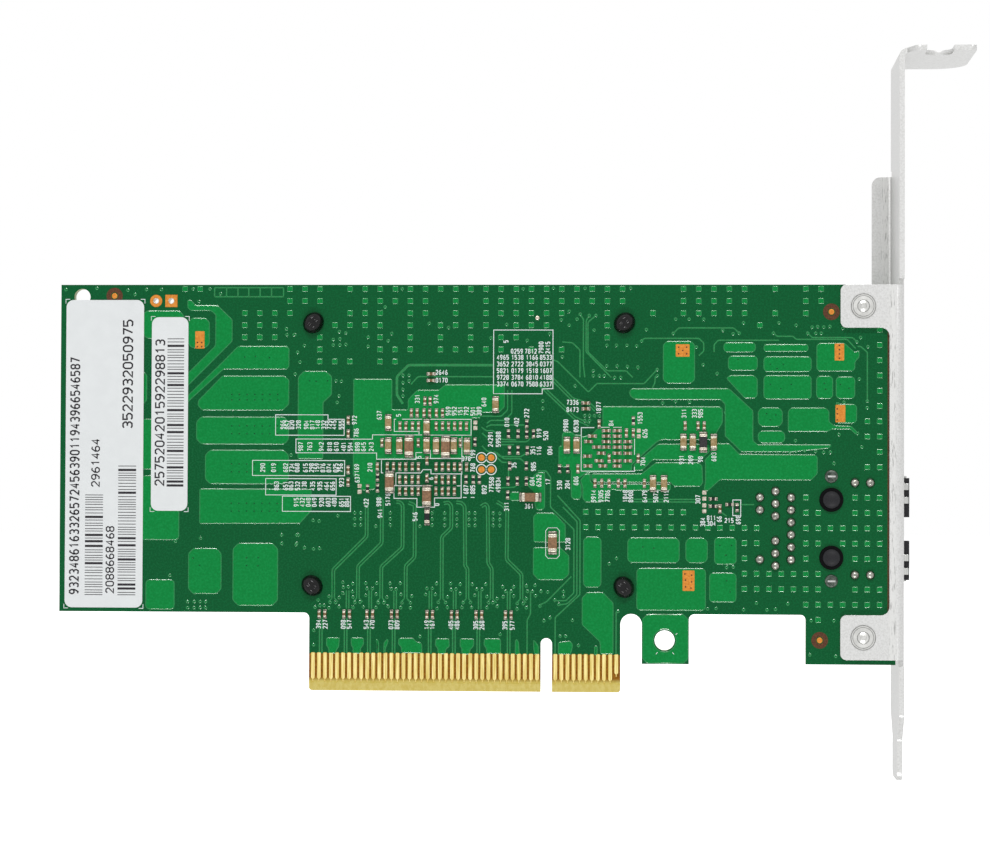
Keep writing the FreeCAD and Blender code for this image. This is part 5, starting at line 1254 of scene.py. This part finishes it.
class CARD_OT_copper(bpy.types.Operator):
    """Raises the mask over copper: pours, dots, traces and vias"""

    bl_idname = "card.copper"
    bl_label = "Copper under the mask"

    def execute(self, context):
        size = card_sizes(context)
        level, slope = size.copper_height, size.copper_slope
        dress("circuit_board", "mask")
        tops, shoulders = Shape(), Shape()
        outlines = [soften(cut_box(*box), 0.3, 3) for box in POUR_BOXES]
        outlines += [soften(outline, 0.25, 3) for outline in POURS]
        for outline in outlines:
            raised(tops, shoulders, offset(turns_left(outline), -POUR_GROWTH), level, slope)
        hold_down(tops, shoulders, level, slope)
        piece("copper_pours", tops, "mask_copper")
        piece("copper_pour_shoulders", shoulders, "shoulder")
        half = DOT / 2
        top, shoulder, dots, dot_shoulders = Shape(), Shape(), Shape(), Shape()
        outline = cut_box(-half, half, -half, half, DOT_CUT)
        raised(top, shoulder, outline, level * DOT_LEVEL_SHARE, slope * DOT_SLOPE_SHARE)
        scattered(dots, top.points[0], by_corners(top.faces), dot_places())
        scattered(dot_shoulders, shoulder.points[0], by_corners(shoulder.faces), dot_places())
        piece("copper_dots", dots, "mask_copper")
        piece("copper_dot_shoulders", dot_shoulders, "shoulder")
        self.traces(size)
        self.vias(size)
        return {"FINISHED"}

    def traces(self, size):
        """Traces as strips along their paths, and pairs as two strips either side of one path."""
        strips = Shape()
        width, level = size.trace_width, size.trace_height
        reach = size.pair_gap / 2
        singles = [soften(path, 0.2, 3, False) for path in TRACES]
        pairs = [soften(path, 0.3, 3, False) for path in TRACE_PAIRS]
        for columns, (low, high) in ((LOWER_PAIRS, LOWER_SPAN), (UPPER_PAIRS, UPPER_SPAN)):
            pairs += [np.array([(x, low), (x, high)]) for x in rows(columns, 1)[:, 0]]
        singles += [offset(path, side, False) for path in pairs for side in (-reach, reach)]
        for path in TRACE_PAIRS[:FANNED_PAIRS]:
            x, z = path[0]
            for side in (-1, 1):
                end = (x + side * FAN_REACH, z - FAN_DROP)
                singles.append(np.array([(x + side * reach, z + 0.02), end]))
        for path in singles:
            ribbon(strips, path, width, level, width * TRACE_SLOPE)
        ribbon(strips, soften(WIDE_TRACE, 0.3, 3, False), WIDE_TRACE_WIDTH, level, 0.06)
        piece("copper_traces", strips, "shoulder")

    def vias(self, size):
        """Each via is a thin raised ring round a sunk centre, turned about the board's normal."""
        collars, centres = Shape(), Shape()
        r = size.via_radius
        upright = [(x, z) for x in rows(VIA_COLUMNS, 1)[:, 0] for z in VIA_COLUMN_ROWS]
        places = np.concatenate([VIAS, upright])
        scattered(collars, *turned_ring(via_collar(r), 10), places)
        scattered(centres, *turned([(r * 0.42, SUNK), (r * 0.4, 0.016), (r * 0.1, 0.016)], 10), places)
        scattered(centres, *turned([(0.16, 0.02), (0.14, size.copper_height + 0.006)], 6), pit_places())
        piece("via_rings", collars, "shoulder")
        piece("via_centres", centres, "mask", smooth=30)


class CARD_OT_bare_metal(bpy.types.Operator):
    """Places the gold and silver pads, sighting marks, test points and header holes"""

    bl_idname = "card.bare_metal"
    bl_label = "Bare pads"

    def execute(self, context):
        # pads are thin plates, and round details are turned about their own lines
        gold, silver, ring = Shape(), Shape(), Shape()
        for low_x, high_x, low_z, high_z in BARE_PADS:
            plate(gold, cut_box(low_x, high_x, low_z, high_z, 0.1), PAD_LEVEL, 0.03)
        annulus = turned_ring(HEADER_RING, 24)
        scattered(gold, *annulus, HEADER_HOLES[:1])
        scattered(gold, *squared(annulus, 0.6), HEADER_HOLES[1:])
        scattered(gold, *turned(SIGHT_DOT, 16), SIGHT_MARKS)
        scattered(gold, *turned(TEST_DOT, 16), TEST_POINTS)
        piece("bare_gold_pads", gold, "pad")
        holes = Shape()
        scattered(holes, *turned(PAD_VIA, 8), PAD_VIAS)
        piece("pad_vias", holes, "clearing")
        scattered(ring, *turned_ring(SIGHT_CLEARING, 32), SIGHT_MARKS)
        piece("sight_mark_clearings", ring, "clearing")
        pads = Shape()
        half = TINNED_PAD / 2
        plate(pads, cut_box(-half, half, -half, half, 0.1), PAD_LEVEL, 0.06)
        scattered(silver, pads.points[0], by_corners(pads.faces), SILVER_PADS)
        depth = SOLDER_FACE - PART_FACE
        barrel = turned_ring([(0.4, 0.05), (0.49, 0.05), (0.49, depth - 0.05), (0.4, depth - 0.05)], 20)
        scattered(silver, *barrel, HEADER_HOLES)
        scattered(silver, *turned(SOLDERED_SPOT, 14), SOLDERED_SPOTS)
        piece("bare_tinned_pads", silver, "chip_end")
        return {"FINISHED"}


class CARD_OT_legend(bpy.types.Operator):
    """Prints the legend: outlines, numbers and the rings round the test points"""

    bl_idname = "card.legend"
    bl_label = "Legend"

    def execute(self, context):
        size = card_sizes(context)
        lines, digits = Shape(), Shape()
        for text in LEGEND:
            closed = text.startswith("o")
            path = rows(text.strip("o "))
            ribbon(lines, path, size.legend_width, size.legend_height, 0.03, closed=closed)
        for low, high in map(node_box, ("large_label", "small_label")):
            for x, out_x in ((low[0], -1), (high[0], 1)):
                for z, out_z in ((low[2], -1), (high[2], 1)):
                    corner = np.array([x + LABEL_GAP * out_x, z + LABEL_GAP * out_z])
                    legs = (LABEL_MARK * out_x, 0), (0, 0), (0, LABEL_MARK * out_z)
                    ribbon(lines, corner - np.array(legs), 0.13, size.legend_height, 0.03)
        scattered(lines, *turned_ring(TEST_RING, 20), TEST_POINTS)
        piece("legend_outlines", lines, "ink")
        entries = [(x, z, n, 0) for z, n, text in NUMBER_ROWS for x in rows(text, 1)[:, 0]]
        entries += NUMBERS.tolist()
        entries += [(x, z, 4, 1) for z in rows(FIELD_ROWS, 1)[:, 0] for x in rows(FIELD_COLUMNS, 1)[:, 0]]
        entries += [(x, z, 4, 1) for x, z in FIELD_TOP]
        numbers(digits, entries, size.digit_height, size.legend_height, size.digit_stroke, size.digit_step)
        piece("legend_numbers", digits, "ink")
        return {"FINISHED"}


class CARD_OT_contacts(bpy.types.Operator):
    """Plates the edge contacts on both faces"""

    bl_idname = "card.contacts"
    bl_label = "Edge contacts"

    def execute(self, context):
        # a contact is a raised outline: its flat top is bright, and its sloped rim is painted browner and
        # darker, as shade
        fingers, rims = Shape(), Shape()
        for low, high in solids_of("edge_contacts"):
            side = "solder" if low[1] < SOLDER_FACE else "part"
            outline = finger(low[0], high[0], low[2], high[2])
            raised(fingers, rims, outline, CONTACT_LEVEL, CONTACT_RIM, side)
        piece("gold_contacts", fingers, "gold", ["edge_contacts"])
        piece("gold_contact_rims_painted_shade", rims, "gold_rim_painted_shade")
        return {"FINISHED"}


class CARD_OT_chip_parts(bpy.types.Operator):
    """Makes the soldered chip capacitors, resistors and the ferrite bead"""

    bl_idname = "card.chip_parts"
    bl_label = "Chip parts"

    def execute(self, context):
        for node, finish_name, share, slot in CHIP_PARTS:
            boxes = solids_of(node)
            body, ends, flow = chip_shapes(boxes, share)
            broad = (boxes[:, 1] - boxes[:, 0]).max(axis=1) > BROAD_CHIP
            if node == "large_chip_capacitors":
                red = chip_shapes(boxes[broad], share)[0]
                piece(node + "_broad_bodies", red, "red_ceramic", (), 40)
                body = chip_shapes(boxes[~broad], share)[0]
            piece(node + "_bodies", body, finish_name, [node], 40)
            piece(node + "_ends", ends, "chip_end", (), 60)
            # the fillets carry painted shade: their solder is coloured dark for the dark reflection round
            # each chip
            piece(node + "_solder", flow, "paste", (), 60)
        return {"FINISHED"}


class CARD_OT_joints(bpy.types.Operator):
    """Solders the port's pins and legs"""

    bl_idname = "card.joints"
    bl_label = "Solder joints"

    def execute(self, context):
        domes, dishes, tips = Shape(), Shape(), Shape()
        # a pin's joint is a dome turned about the pin; a leg's is a dish with the folded leg's tip in it
        for low, high in solids_of("solder_joints"):
            r, tall = (high[0] - low[0]) / 2, high[1] - low[1]
            place = flat_middle(low, high)
            if r < 1:
                scattered(domes, *turned(np.array(SOLDER_DOME) * (r, tall), 20), [place])
                continue
            scattered(dishes, *turned(np.array(LEG_DISH) * (r, 1), 24), [place])
            middle = np.array([place[0], SOLDER_FACE - 0.3, place[1]])
            blocks(tips, middle - (0.5, 0.16, 0.13), middle + (0.5, 0.2, 0.13), 0.08)
        piece("soldered_joints", domes, "solder", ["solder_joints"], 60)
        # the dishes carry a painted dark reflection in their solder colour
        piece("soldered_leg_dishes", dishes, "leg_solder_painted_dark", (), 60)
        piece("shield_leg_tips", tips, "shield", (), 60)
        dress("port_pins", "pin")
        return {"FINISHED"}


class CARD_OT_cooler(bpy.types.Operator):
    """Dresses the cooler, its push pins, springs and pads"""

    bl_idname = "card.cooler"
    bl_label = "Cooler"

    def execute(self, context):
        dress("heatsink", "anodised")
        ease_edges("heatsink", 0.1)
        self.push_pins()
        self.springs()
        dress("thermal_pads", "gel")
        return {"FINISHED"}

    def springs(self):
        """Each spring is a tube along a helix: radius times cos and sin of the turn, rising evenly."""
        coils = Shape()
        turn = TAU * np.linspace(0, SPRING_TURNS, 24 * SPRING_TURNS + 1)
        for low, high in solids_of("push_pin_springs"):
            middle, r = (low + high) / 2, (high[0] - low[0]) / 2 - SPRING_WIRE
            along = np.linspace(low[1] + SPRING_WIRE, high[1] - SPRING_WIRE, len(turn))
            path = np.stack([middle[0] + r * np.cos(turn), along, middle[2] + r * np.sin(turn)], axis=1)
            tube(coils, path, SPRING_WIRE, 8)
        piece("coil_springs", coils, "spring", ["push_pin_springs"], 60)

    def push_pins(self):
        """Each pin is turned about its own line, and ends in a rounded barb with a soft fold across it.

        The barb is an ellipsoid: its half widths times cos(azimuth) sin(polar) across and
        sin(azimuth) sin(polar) along, and the tip's length times cos(polar) out, less a
        fifth of it times the bell curve exp(-(across / 0.3) squared).
        """
        pins = Shape()
        sides, rings = 32, 12
        azimuth = (TAU * np.arange(sides) / sides)[None, :]
        polar = np.linspace(0.04, math.pi / 2, rings)[:, None]
        across = BARB_ACROSS * np.cos(azimuth) * np.sin(polar)
        along = BARB_ALONG * np.sin(azimuth) * np.sin(polar)
        height = np.cos(polar) * (1 - 0.2 * np.exp(-(across / 0.3) ** 2))
        ring = np.arange(sides)
        barb = [grid_faces(rings, sides, True), [ring], [ring[::-1] + sides * (rings - 1)]]
        for turn, (low, high) in zip(PIN_TURNS, solids_of("push_pins")):
            x, z = flat_middle(low, high)
            head, far = (high[0] - low[0]) / 2, SOLDER_FACE - high[1]
            near = far + 1.5
            body = [
                (1.2, 0.15), (1.5, 0.0), (1.5, near), (head - 0.25, near), (head, near - 0.25),
                (head, far + 0.4), (head - 0.35, far + 0.08), (head - 0.9, far), (0.8, far),
                (0.65, far + 0.4)]
            scattered(pins, *turned(body[::-1], sides), [(x, z)])
            tip = SOLDER_FACE - low[1]
            c, n = math.cos(math.radians(turn)), math.sin(math.radians(turn))
            points = [x + c * across - n * along, SOLDER_FACE - tip * height, z + n * across + c * along]
            pins.add(np.stack(points, axis=-1), barb)
        piece("push_pin_bodies", pins, "nylon", ["push_pins"], 40)


class CARD_OT_port(bpy.types.Operator):
    """Dresses the network port, its shield, contacts and lights"""

    bl_idname = "card.port"
    bl_label = "Network port"

    def execute(self, context):
        for node, finish_name, edge in PORT_PARTS:
            dress(node, finish_name)
            if edge:
                ease_edges(node, edge)
        self.post_ends()
        return {"FINISHED"}

    def post_ends(self):
        """A sleeve of painted shade round each of the two posts, standing for the depth of its well, and the
        post's flat end, turned about their lines.
        """
        points = node_points("port_housing")
        ends = points[points[:, 1] < SOLDER_FACE - 0.1]
        middle = ends[:, 2].mean()
        tall = SOLDER_FACE - ends[:, 1].min()
        wells, caps = Shape(), Shape()
        for group in (ends[ends[:, 2] > middle], ends[ends[:, 2] < middle]):
            place = flat_middle(group.min(axis=0), group.max(axis=0))
            well = [(1.98, SUNK), (1.95, 0.06), (1.88, tall + 0.01), (1.4, tall + 0.01), (1.38, tall - 0.02)]
            scattered(wells, *turned_ring(well, 40), [place])
            cap = [(1.42, -0.1), (1.4, 0.16), (1.3, 0.24), (1.0, 0.24), (0.94, 0.2)] + np.array([0, tall])
            scattered(caps, *turned(cap, 40), [place])
        piece("port_post_wells", wells, "well", (), 35)
        piece("port_post_ends", caps, "port", (), 35)


class CARD_OT_bracket(bpy.types.Operator):
    """Dresses the slot bracket and its rivets"""

    bl_idname = "card.bracket"
    bl_label = "Slot bracket"

    def execute(self, context):
        dress("bracket", "steel")
        ease_edges("bracket", 0.22)
        self.rivets()
        # painted shadow: a brown strip along the board beside the lip, standing for the shade in the gap
        # between them
        edge = Shape()
        ribbon(edge, [(SHADOW_GAP_X, z) for z in SHADOW_GAP_SPAN], 0.24, 0.05, 0.02)
        piece("painted_shadow_gap_by_bracket", edge, "clearing")
        return {"FINISHED"}

    def rivets(self):
        """Each rivet is turned about its own line, and so are thin rings of painted shade standing in the
        grooves between its rings.

        Its profile runs up from the foot through the board and the tab, out to the head's
        rim, and inwards over two rolled rings to a raised middle.
        """
        heads, groove_shades = Shape(), Shape()
        for low, high in solids_of("rivets"):
            place = flat_middle(low, high)
            top, foot, r = SOLDER_FACE - low[1], SOLDER_FACE - high[1], (high[0] - low[0]) / 2
            rise, tab = RIVET_RISE, top - RIVET_RISE
            profile = [
                (1.1, foot), (1.6, foot + 0.6), (1.2, foot + 0.6), (1.2, tab), (r, tab),
                (r - 0.03, tab + 0.1 * rise), (r - 0.1, tab + 0.34 * rise), (r - 0.28, tab + 0.36 * rise),
                (r - 0.31, tab + 0.02), (r - 0.36, tab + 0.02), (r - 0.39, tab + 0.42 * rise),
                (1.04, tab + 0.56 * rise), (1.0, tab + 0.05), (0.94, tab + 0.05), (0.9, tab + 0.6 * rise),
                (0.5, top), (0.42, tab + 0.4 * rise), (0.18, tab + 0.36 * rise)]
            scattered(heads, *turned(profile, 40), [place])
            # rings of painted shade, standing up in the grooves of the head
            for reach, half, share in ((r - 0.02, 0.05, 0.3), (r - 0.34, 0.05, 0.4), (0.98, 0.06, 0.6)):
                low_x, high_x, level = reach - half, reach + half, tab + share * rise
                line = [(low_x, tab), (low_x, level), (high_x, level), (high_x, tab)]
                scattered(groove_shades, *turned_ring(line, 40), [place])
        piece("rivet_heads", heads, "rivet", ["rivets"], 35)
        piece("rivet_groove_shades", groove_shades, "groove_shade", (), 35)


class CARD_OT_labels(bpy.types.Operator):
    """Dresses the labels and prints plain numbers and bars on them"""

    bl_idname = "card.labels"
    bl_label = "Labels"

    def execute(self, context):
        printed = Shape()
        top = SOLDER_FACE - node_box("large_label")[0][1]
        level = top + 0.004
        for node in ("large_label", "small_label"):
            dress(node, "film")
            ease_edges(node, 0.04)
        for x, low, high, height, count in LABEL_NUMBERS:
            entry = (x, (low + high) / 2, count, 0)
            step = (high - low) / count
            numbers(printed, [entry], height, level, 0.17 * height, step, seed=int(x * -10))
        for index, box in enumerate(LABEL_BARS):
            bars(printed, *box, level, 11 + index)
        piece("label_print", printed, "print")
        return {"FINISHED"}


class CARD_OT_packages(bpy.types.Operator):
    """Dresses the chips, coils, capacitors and crystals of the component face"""

    bl_idname = "card.packages"
    bl_label = "Component face"

    def execute(self, context):
        for node, finish_name, edge in PACKAGES:
            dress(node, finish_name)
            ease_edges(node, edge)
        bases = Shape()
        for low, high in solids_of("polymer_capacitors"):
            top = np.array([high[0] + 0.02, PART_FACE + 1.02, high[2] + 0.02])
            blocks(bases, (low[0] - 0.02, PART_FACE, low[2] - 0.02), top, 0.12)
        piece("capacitor_bases", bases, "epoxy", (), 40)
        size = card_sizes(context)
        self.copper(size)
        self.legend(size)
        return {"FINISHED"}

    def copper(self, size):
        """Pours under the power parts, traces from part to part, and vias by the edges and the chips."""
        tops, shoulders, strips, collars = Shape(), Shape(), Shape(), Shape()
        height, slope = size.copper_height, size.copper_slope
        for box in FACE_POURS:
            raised(tops, shoulders, soften(cut_box(*box), 0.3, 3), height, slope, "part")
        hold_down(tops, shoulders, height, slope, "part")
        low, high = FACE_SPAN
        pairs = FACE_PAIRS + [np.array([(x + 1, low), (x + 1, high)]) for x in rows(LOWER_PAIRS, 1)[:, 0]]
        reaches = (-FACE_PAIR_REACH, FACE_PAIR_REACH)
        for path in FACE_TRACES + [offset(path, reach, False) for path in pairs for reach in reaches]:
            ribbon(strips, soften(path, 0.3, 3, False), size.trace_width, size.trace_height, 0.08, "part")
        chips = np.concatenate([solids_of(node) for node in FACE_CHIPS]).mean(axis=1)
        spots = [(x, z - CHIP_VIA_DROP) for x, _, z in chips]
        for first, last, pitch, z in FACE_VIA_ROWS:
            spots += [(x, z) for x in np.arange(first, last, pitch)]
        scattered(collars, *turned_ring(via_collar(size.via_radius), 10, "part"), spots + FACE_VIAS)
        piece("face_pours", tops, "mask_copper")
        piece("face_pour_shoulders", shoulders, "shoulder")
        piece("face_traces", strips, "shoulder")
        piece("face_via_rings", collars, "shoulder")

    def legend(self, size):
        """Outlines round the larger parts, a corner dot each, and numbers beside every part."""
        lines, digits = Shape(), Shape()
        entries = []
        dot, level = turned(CORNER_DOT, 12, "part"), size.legend_height + 0.01
        for low, high in np.concatenate([solids_of(node) for node in OUTLINED]):
            low_x, high_x = low[0] - OUTLINE_GAP, high[0] + OUTLINE_GAP
            low_z, high_z = low[2] - OUTLINE_GAP, high[2] + OUTLINE_GAP
            outline = cut_box(low_x, high_x, low_z, high_z, 0.3)
            ribbon(lines, outline, size.legend_width, level, 0.03, "part", True)
            scattered(lines, *dot, [(high_x + 0.5, high_z - 0.3)])
            entries.append((flat_middle(low, high)[0], high_z + 0.9, 3, 1))
        for node in FACE_CHIPS:
            entries += [(box[:, 0].mean(), box[1, 2] + 1.3, 3, 0) for box in solids_of(node)]
        numbers(digits, entries, size.digit_height, level, size.digit_stroke, size.digit_step, "part", 23)
        piece("face_legend_outlines", lines, "ink")
        piece("face_legend_numbers", digits, "ink")


FLOOR_REACH = 3.0       # half the floor's width, metres
FLOOR_GLOW = 0.74       # how brightly the floor glows to the camera
ROOM_LIGHT = 0.35       # strength of the room's own light on the card
# name, place and width and height in metres, watts
LAMPS = (
    ("lamp_above", (0.0, -0.8, 0.85), 0.6, 0.06, 5.6),
    ("lamp_below", (0.0, -0.8, -0.78), 0.6, 0.06, 3.9),
    ("lamp_behind", (0.3, 1.0, 0.8), 0.7, 0.7, 9.0),
)
LAMP_AIM = (0, 0, 0.035)
CAMERA_LENS = 106.2635
CAMERA_PLACE = (0.019135, -0.480281, 0.032286)
CAMERA_TURN = (91.3269, -0.2165, 3.2951)


class CARD_OT_stage(bpy.types.Operator):
    """Sets the floor, the soft lamps, the world and the camera"""

    bl_idname = "card.stage"
    bl_label = "Stage"

    def execute(self, context):
        self.floor()
        self.world()
        for lamp in LAMPS:
            self.lamp(*lamp)
        self.camera()
        context.scene.view_settings.view_transform = "Standard"
        return {"FINISHED"}

    def lamp(self, name, place, wide, tall, power):
        """A soft panel of light, turned to the card."""
        data = bpy.data.lights.new(name, "AREA")
        data.shape = "RECTANGLE"
        data.size, data.size_y = wide, tall
        data.energy = power
        made = bpy.data.objects.new(name, data)
        made.location = place
        made.rotation_euler = (Vector(LAMP_AIM) - Vector(place)).to_track_quat("-Z", "Y").to_euler()
        bpy.context.scene.collection.objects.link(made)

    def camera(self):
        """The camera, almost square to the solder side, turned by angles in degrees."""
        data = bpy.data.cameras.new("camera")
        data.lens = CAMERA_LENS
        data.clip_start, data.clip_end = 0.01, 50
        camera = bpy.data.objects.new("camera", data)
        camera.location = CAMERA_PLACE
        camera.rotation_euler = [math.radians(a) for a in CAMERA_TURN]
        bpy.context.scene.collection.objects.link(camera)
        bpy.context.scene.camera = camera

    def floor(self):
        """A plain square under the card's lowest point, white to the camera, keeping the card's shadow.

        Light from under it and mirrored rays pass through.
        """
        low = cad_box[0][2]
        reach = FLOOR_REACH
        mesh = bpy.data.meshes.new("floor")
        corners = [(-reach, -reach, low), (reach, -reach, low), (reach, reach, low), (-reach, reach, low)]
        mesh.from_pydata(corners, [], [(0, 1, 2, 3)])
        material = bpy.data.materials.new("matt_white_paper_floor")
        material.use_nodes = True
        tree = material.node_tree
        tree.nodes.clear()
        paper = add(tree, "BsdfDiffuse", {"Color": colour("#EDEDED")})
        glow = add(tree, "Emission", {"Color": colour("#FFFFFF"), "Strength": FLOOR_GLOW})
        lit = add(tree, "AddShader", {0: paper.outputs[0], 1: glow.outputs[0]})
        seen = any_ray(tree, "Is Camera Ray", "Is Glossy Ray", "Is Transmission Ray")
        mix = add(tree, "MixShader", {0: seen, 1: paper.outputs[0], 2: lit.outputs[0]})
        passing = any_ray(tree, "Is Shadow Ray", "Is Glossy Ray")
        clear = add(tree, "BsdfTransparent")
        whole = add(tree, "MixShader", {0: passing, 1: mix.outputs[0], 2: clear.outputs[0]})
        add(tree, "OutputMaterial", {"Surface": whole.outputs[0]})
        mesh.materials.append(material)
        made = bpy.data.objects.new("floor", mesh)
        bpy.context.scene.collection.objects.link(made)

    def world(self):
        """White to rays from the camera, a gloss or a clear part, and a soft grey light elsewhere."""
        world = bpy.data.worlds.new("soft_white_room")
        bpy.context.scene.world = world
        world.use_nodes = True
        tree = world.node_tree
        tree.nodes.clear()
        seen = any_ray(tree, "Is Camera Ray", "Is Glossy Ray", "Is Transmission Ray")
        strength = add(tree, "MapRange", {"Value": seen, "To Min": ROOM_LIGHT, "To Max": 1.0})
        glow = add(tree, "Background", {"Color": colour("#FFFFFF"), "Strength": strength.outputs[0]})
        add(tree, "OutputWorld", {"Surface": glow.outputs[0]})


class CARD_PT_looks(bpy.types.Panel):
    """Lists the card's sizes, colours and pieces"""

    bl_idname = "CARD_PT_looks"
    bl_label = "Network Interface Card"
    bl_space_type = "VIEW_3D"
    bl_region_type = "UI"
    bl_category = "Card"

    def draw(self, context):
        for group in (context.scene.card_sizes, context.scene.card_colours):
            box = self.layout.box()
            for name in own_properties(group):
                box.prop(group, name)
        for operator in OPERATORS:
            self.layout.operator(operator.bl_idname)


OPERATORS = (
    CARD_OT_finishes, CARD_OT_copper, CARD_OT_bare_metal, CARD_OT_legend, CARD_OT_contacts,
    CARD_OT_chip_parts, CARD_OT_joints, CARD_OT_cooler, CARD_OT_port, CARD_OT_bracket, CARD_OT_labels,
    CARD_OT_packages, CARD_OT_stage,
)
CLASSES = (CardSizes, CardColours, *OPERATORS, CARD_PT_looks)


def register():
    """Adds the add-on's classes and the scene's properties."""
    for item in CLASSES:
        bpy.utils.register_class(item)
    bpy.types.Scene.card_sizes = PointerProperty(type=CardSizes)
    bpy.types.Scene.card_colours = PointerProperty(type=CardColours)


def unregister():
    """Takes the properties and classes away again."""
    del bpy.types.Scene.card_colours
    del bpy.types.Scene.card_sizes
    for item in reversed(CLASSES):
        bpy.utils.unregister_class(item)


def main():
    """Builds every piece in order."""
    register()
    for operator in OPERATORS:
        group, name = operator.bl_idname.split(".")
        getattr(getattr(bpy.ops, group), name)()


if __name__ == "__main__":
    main()
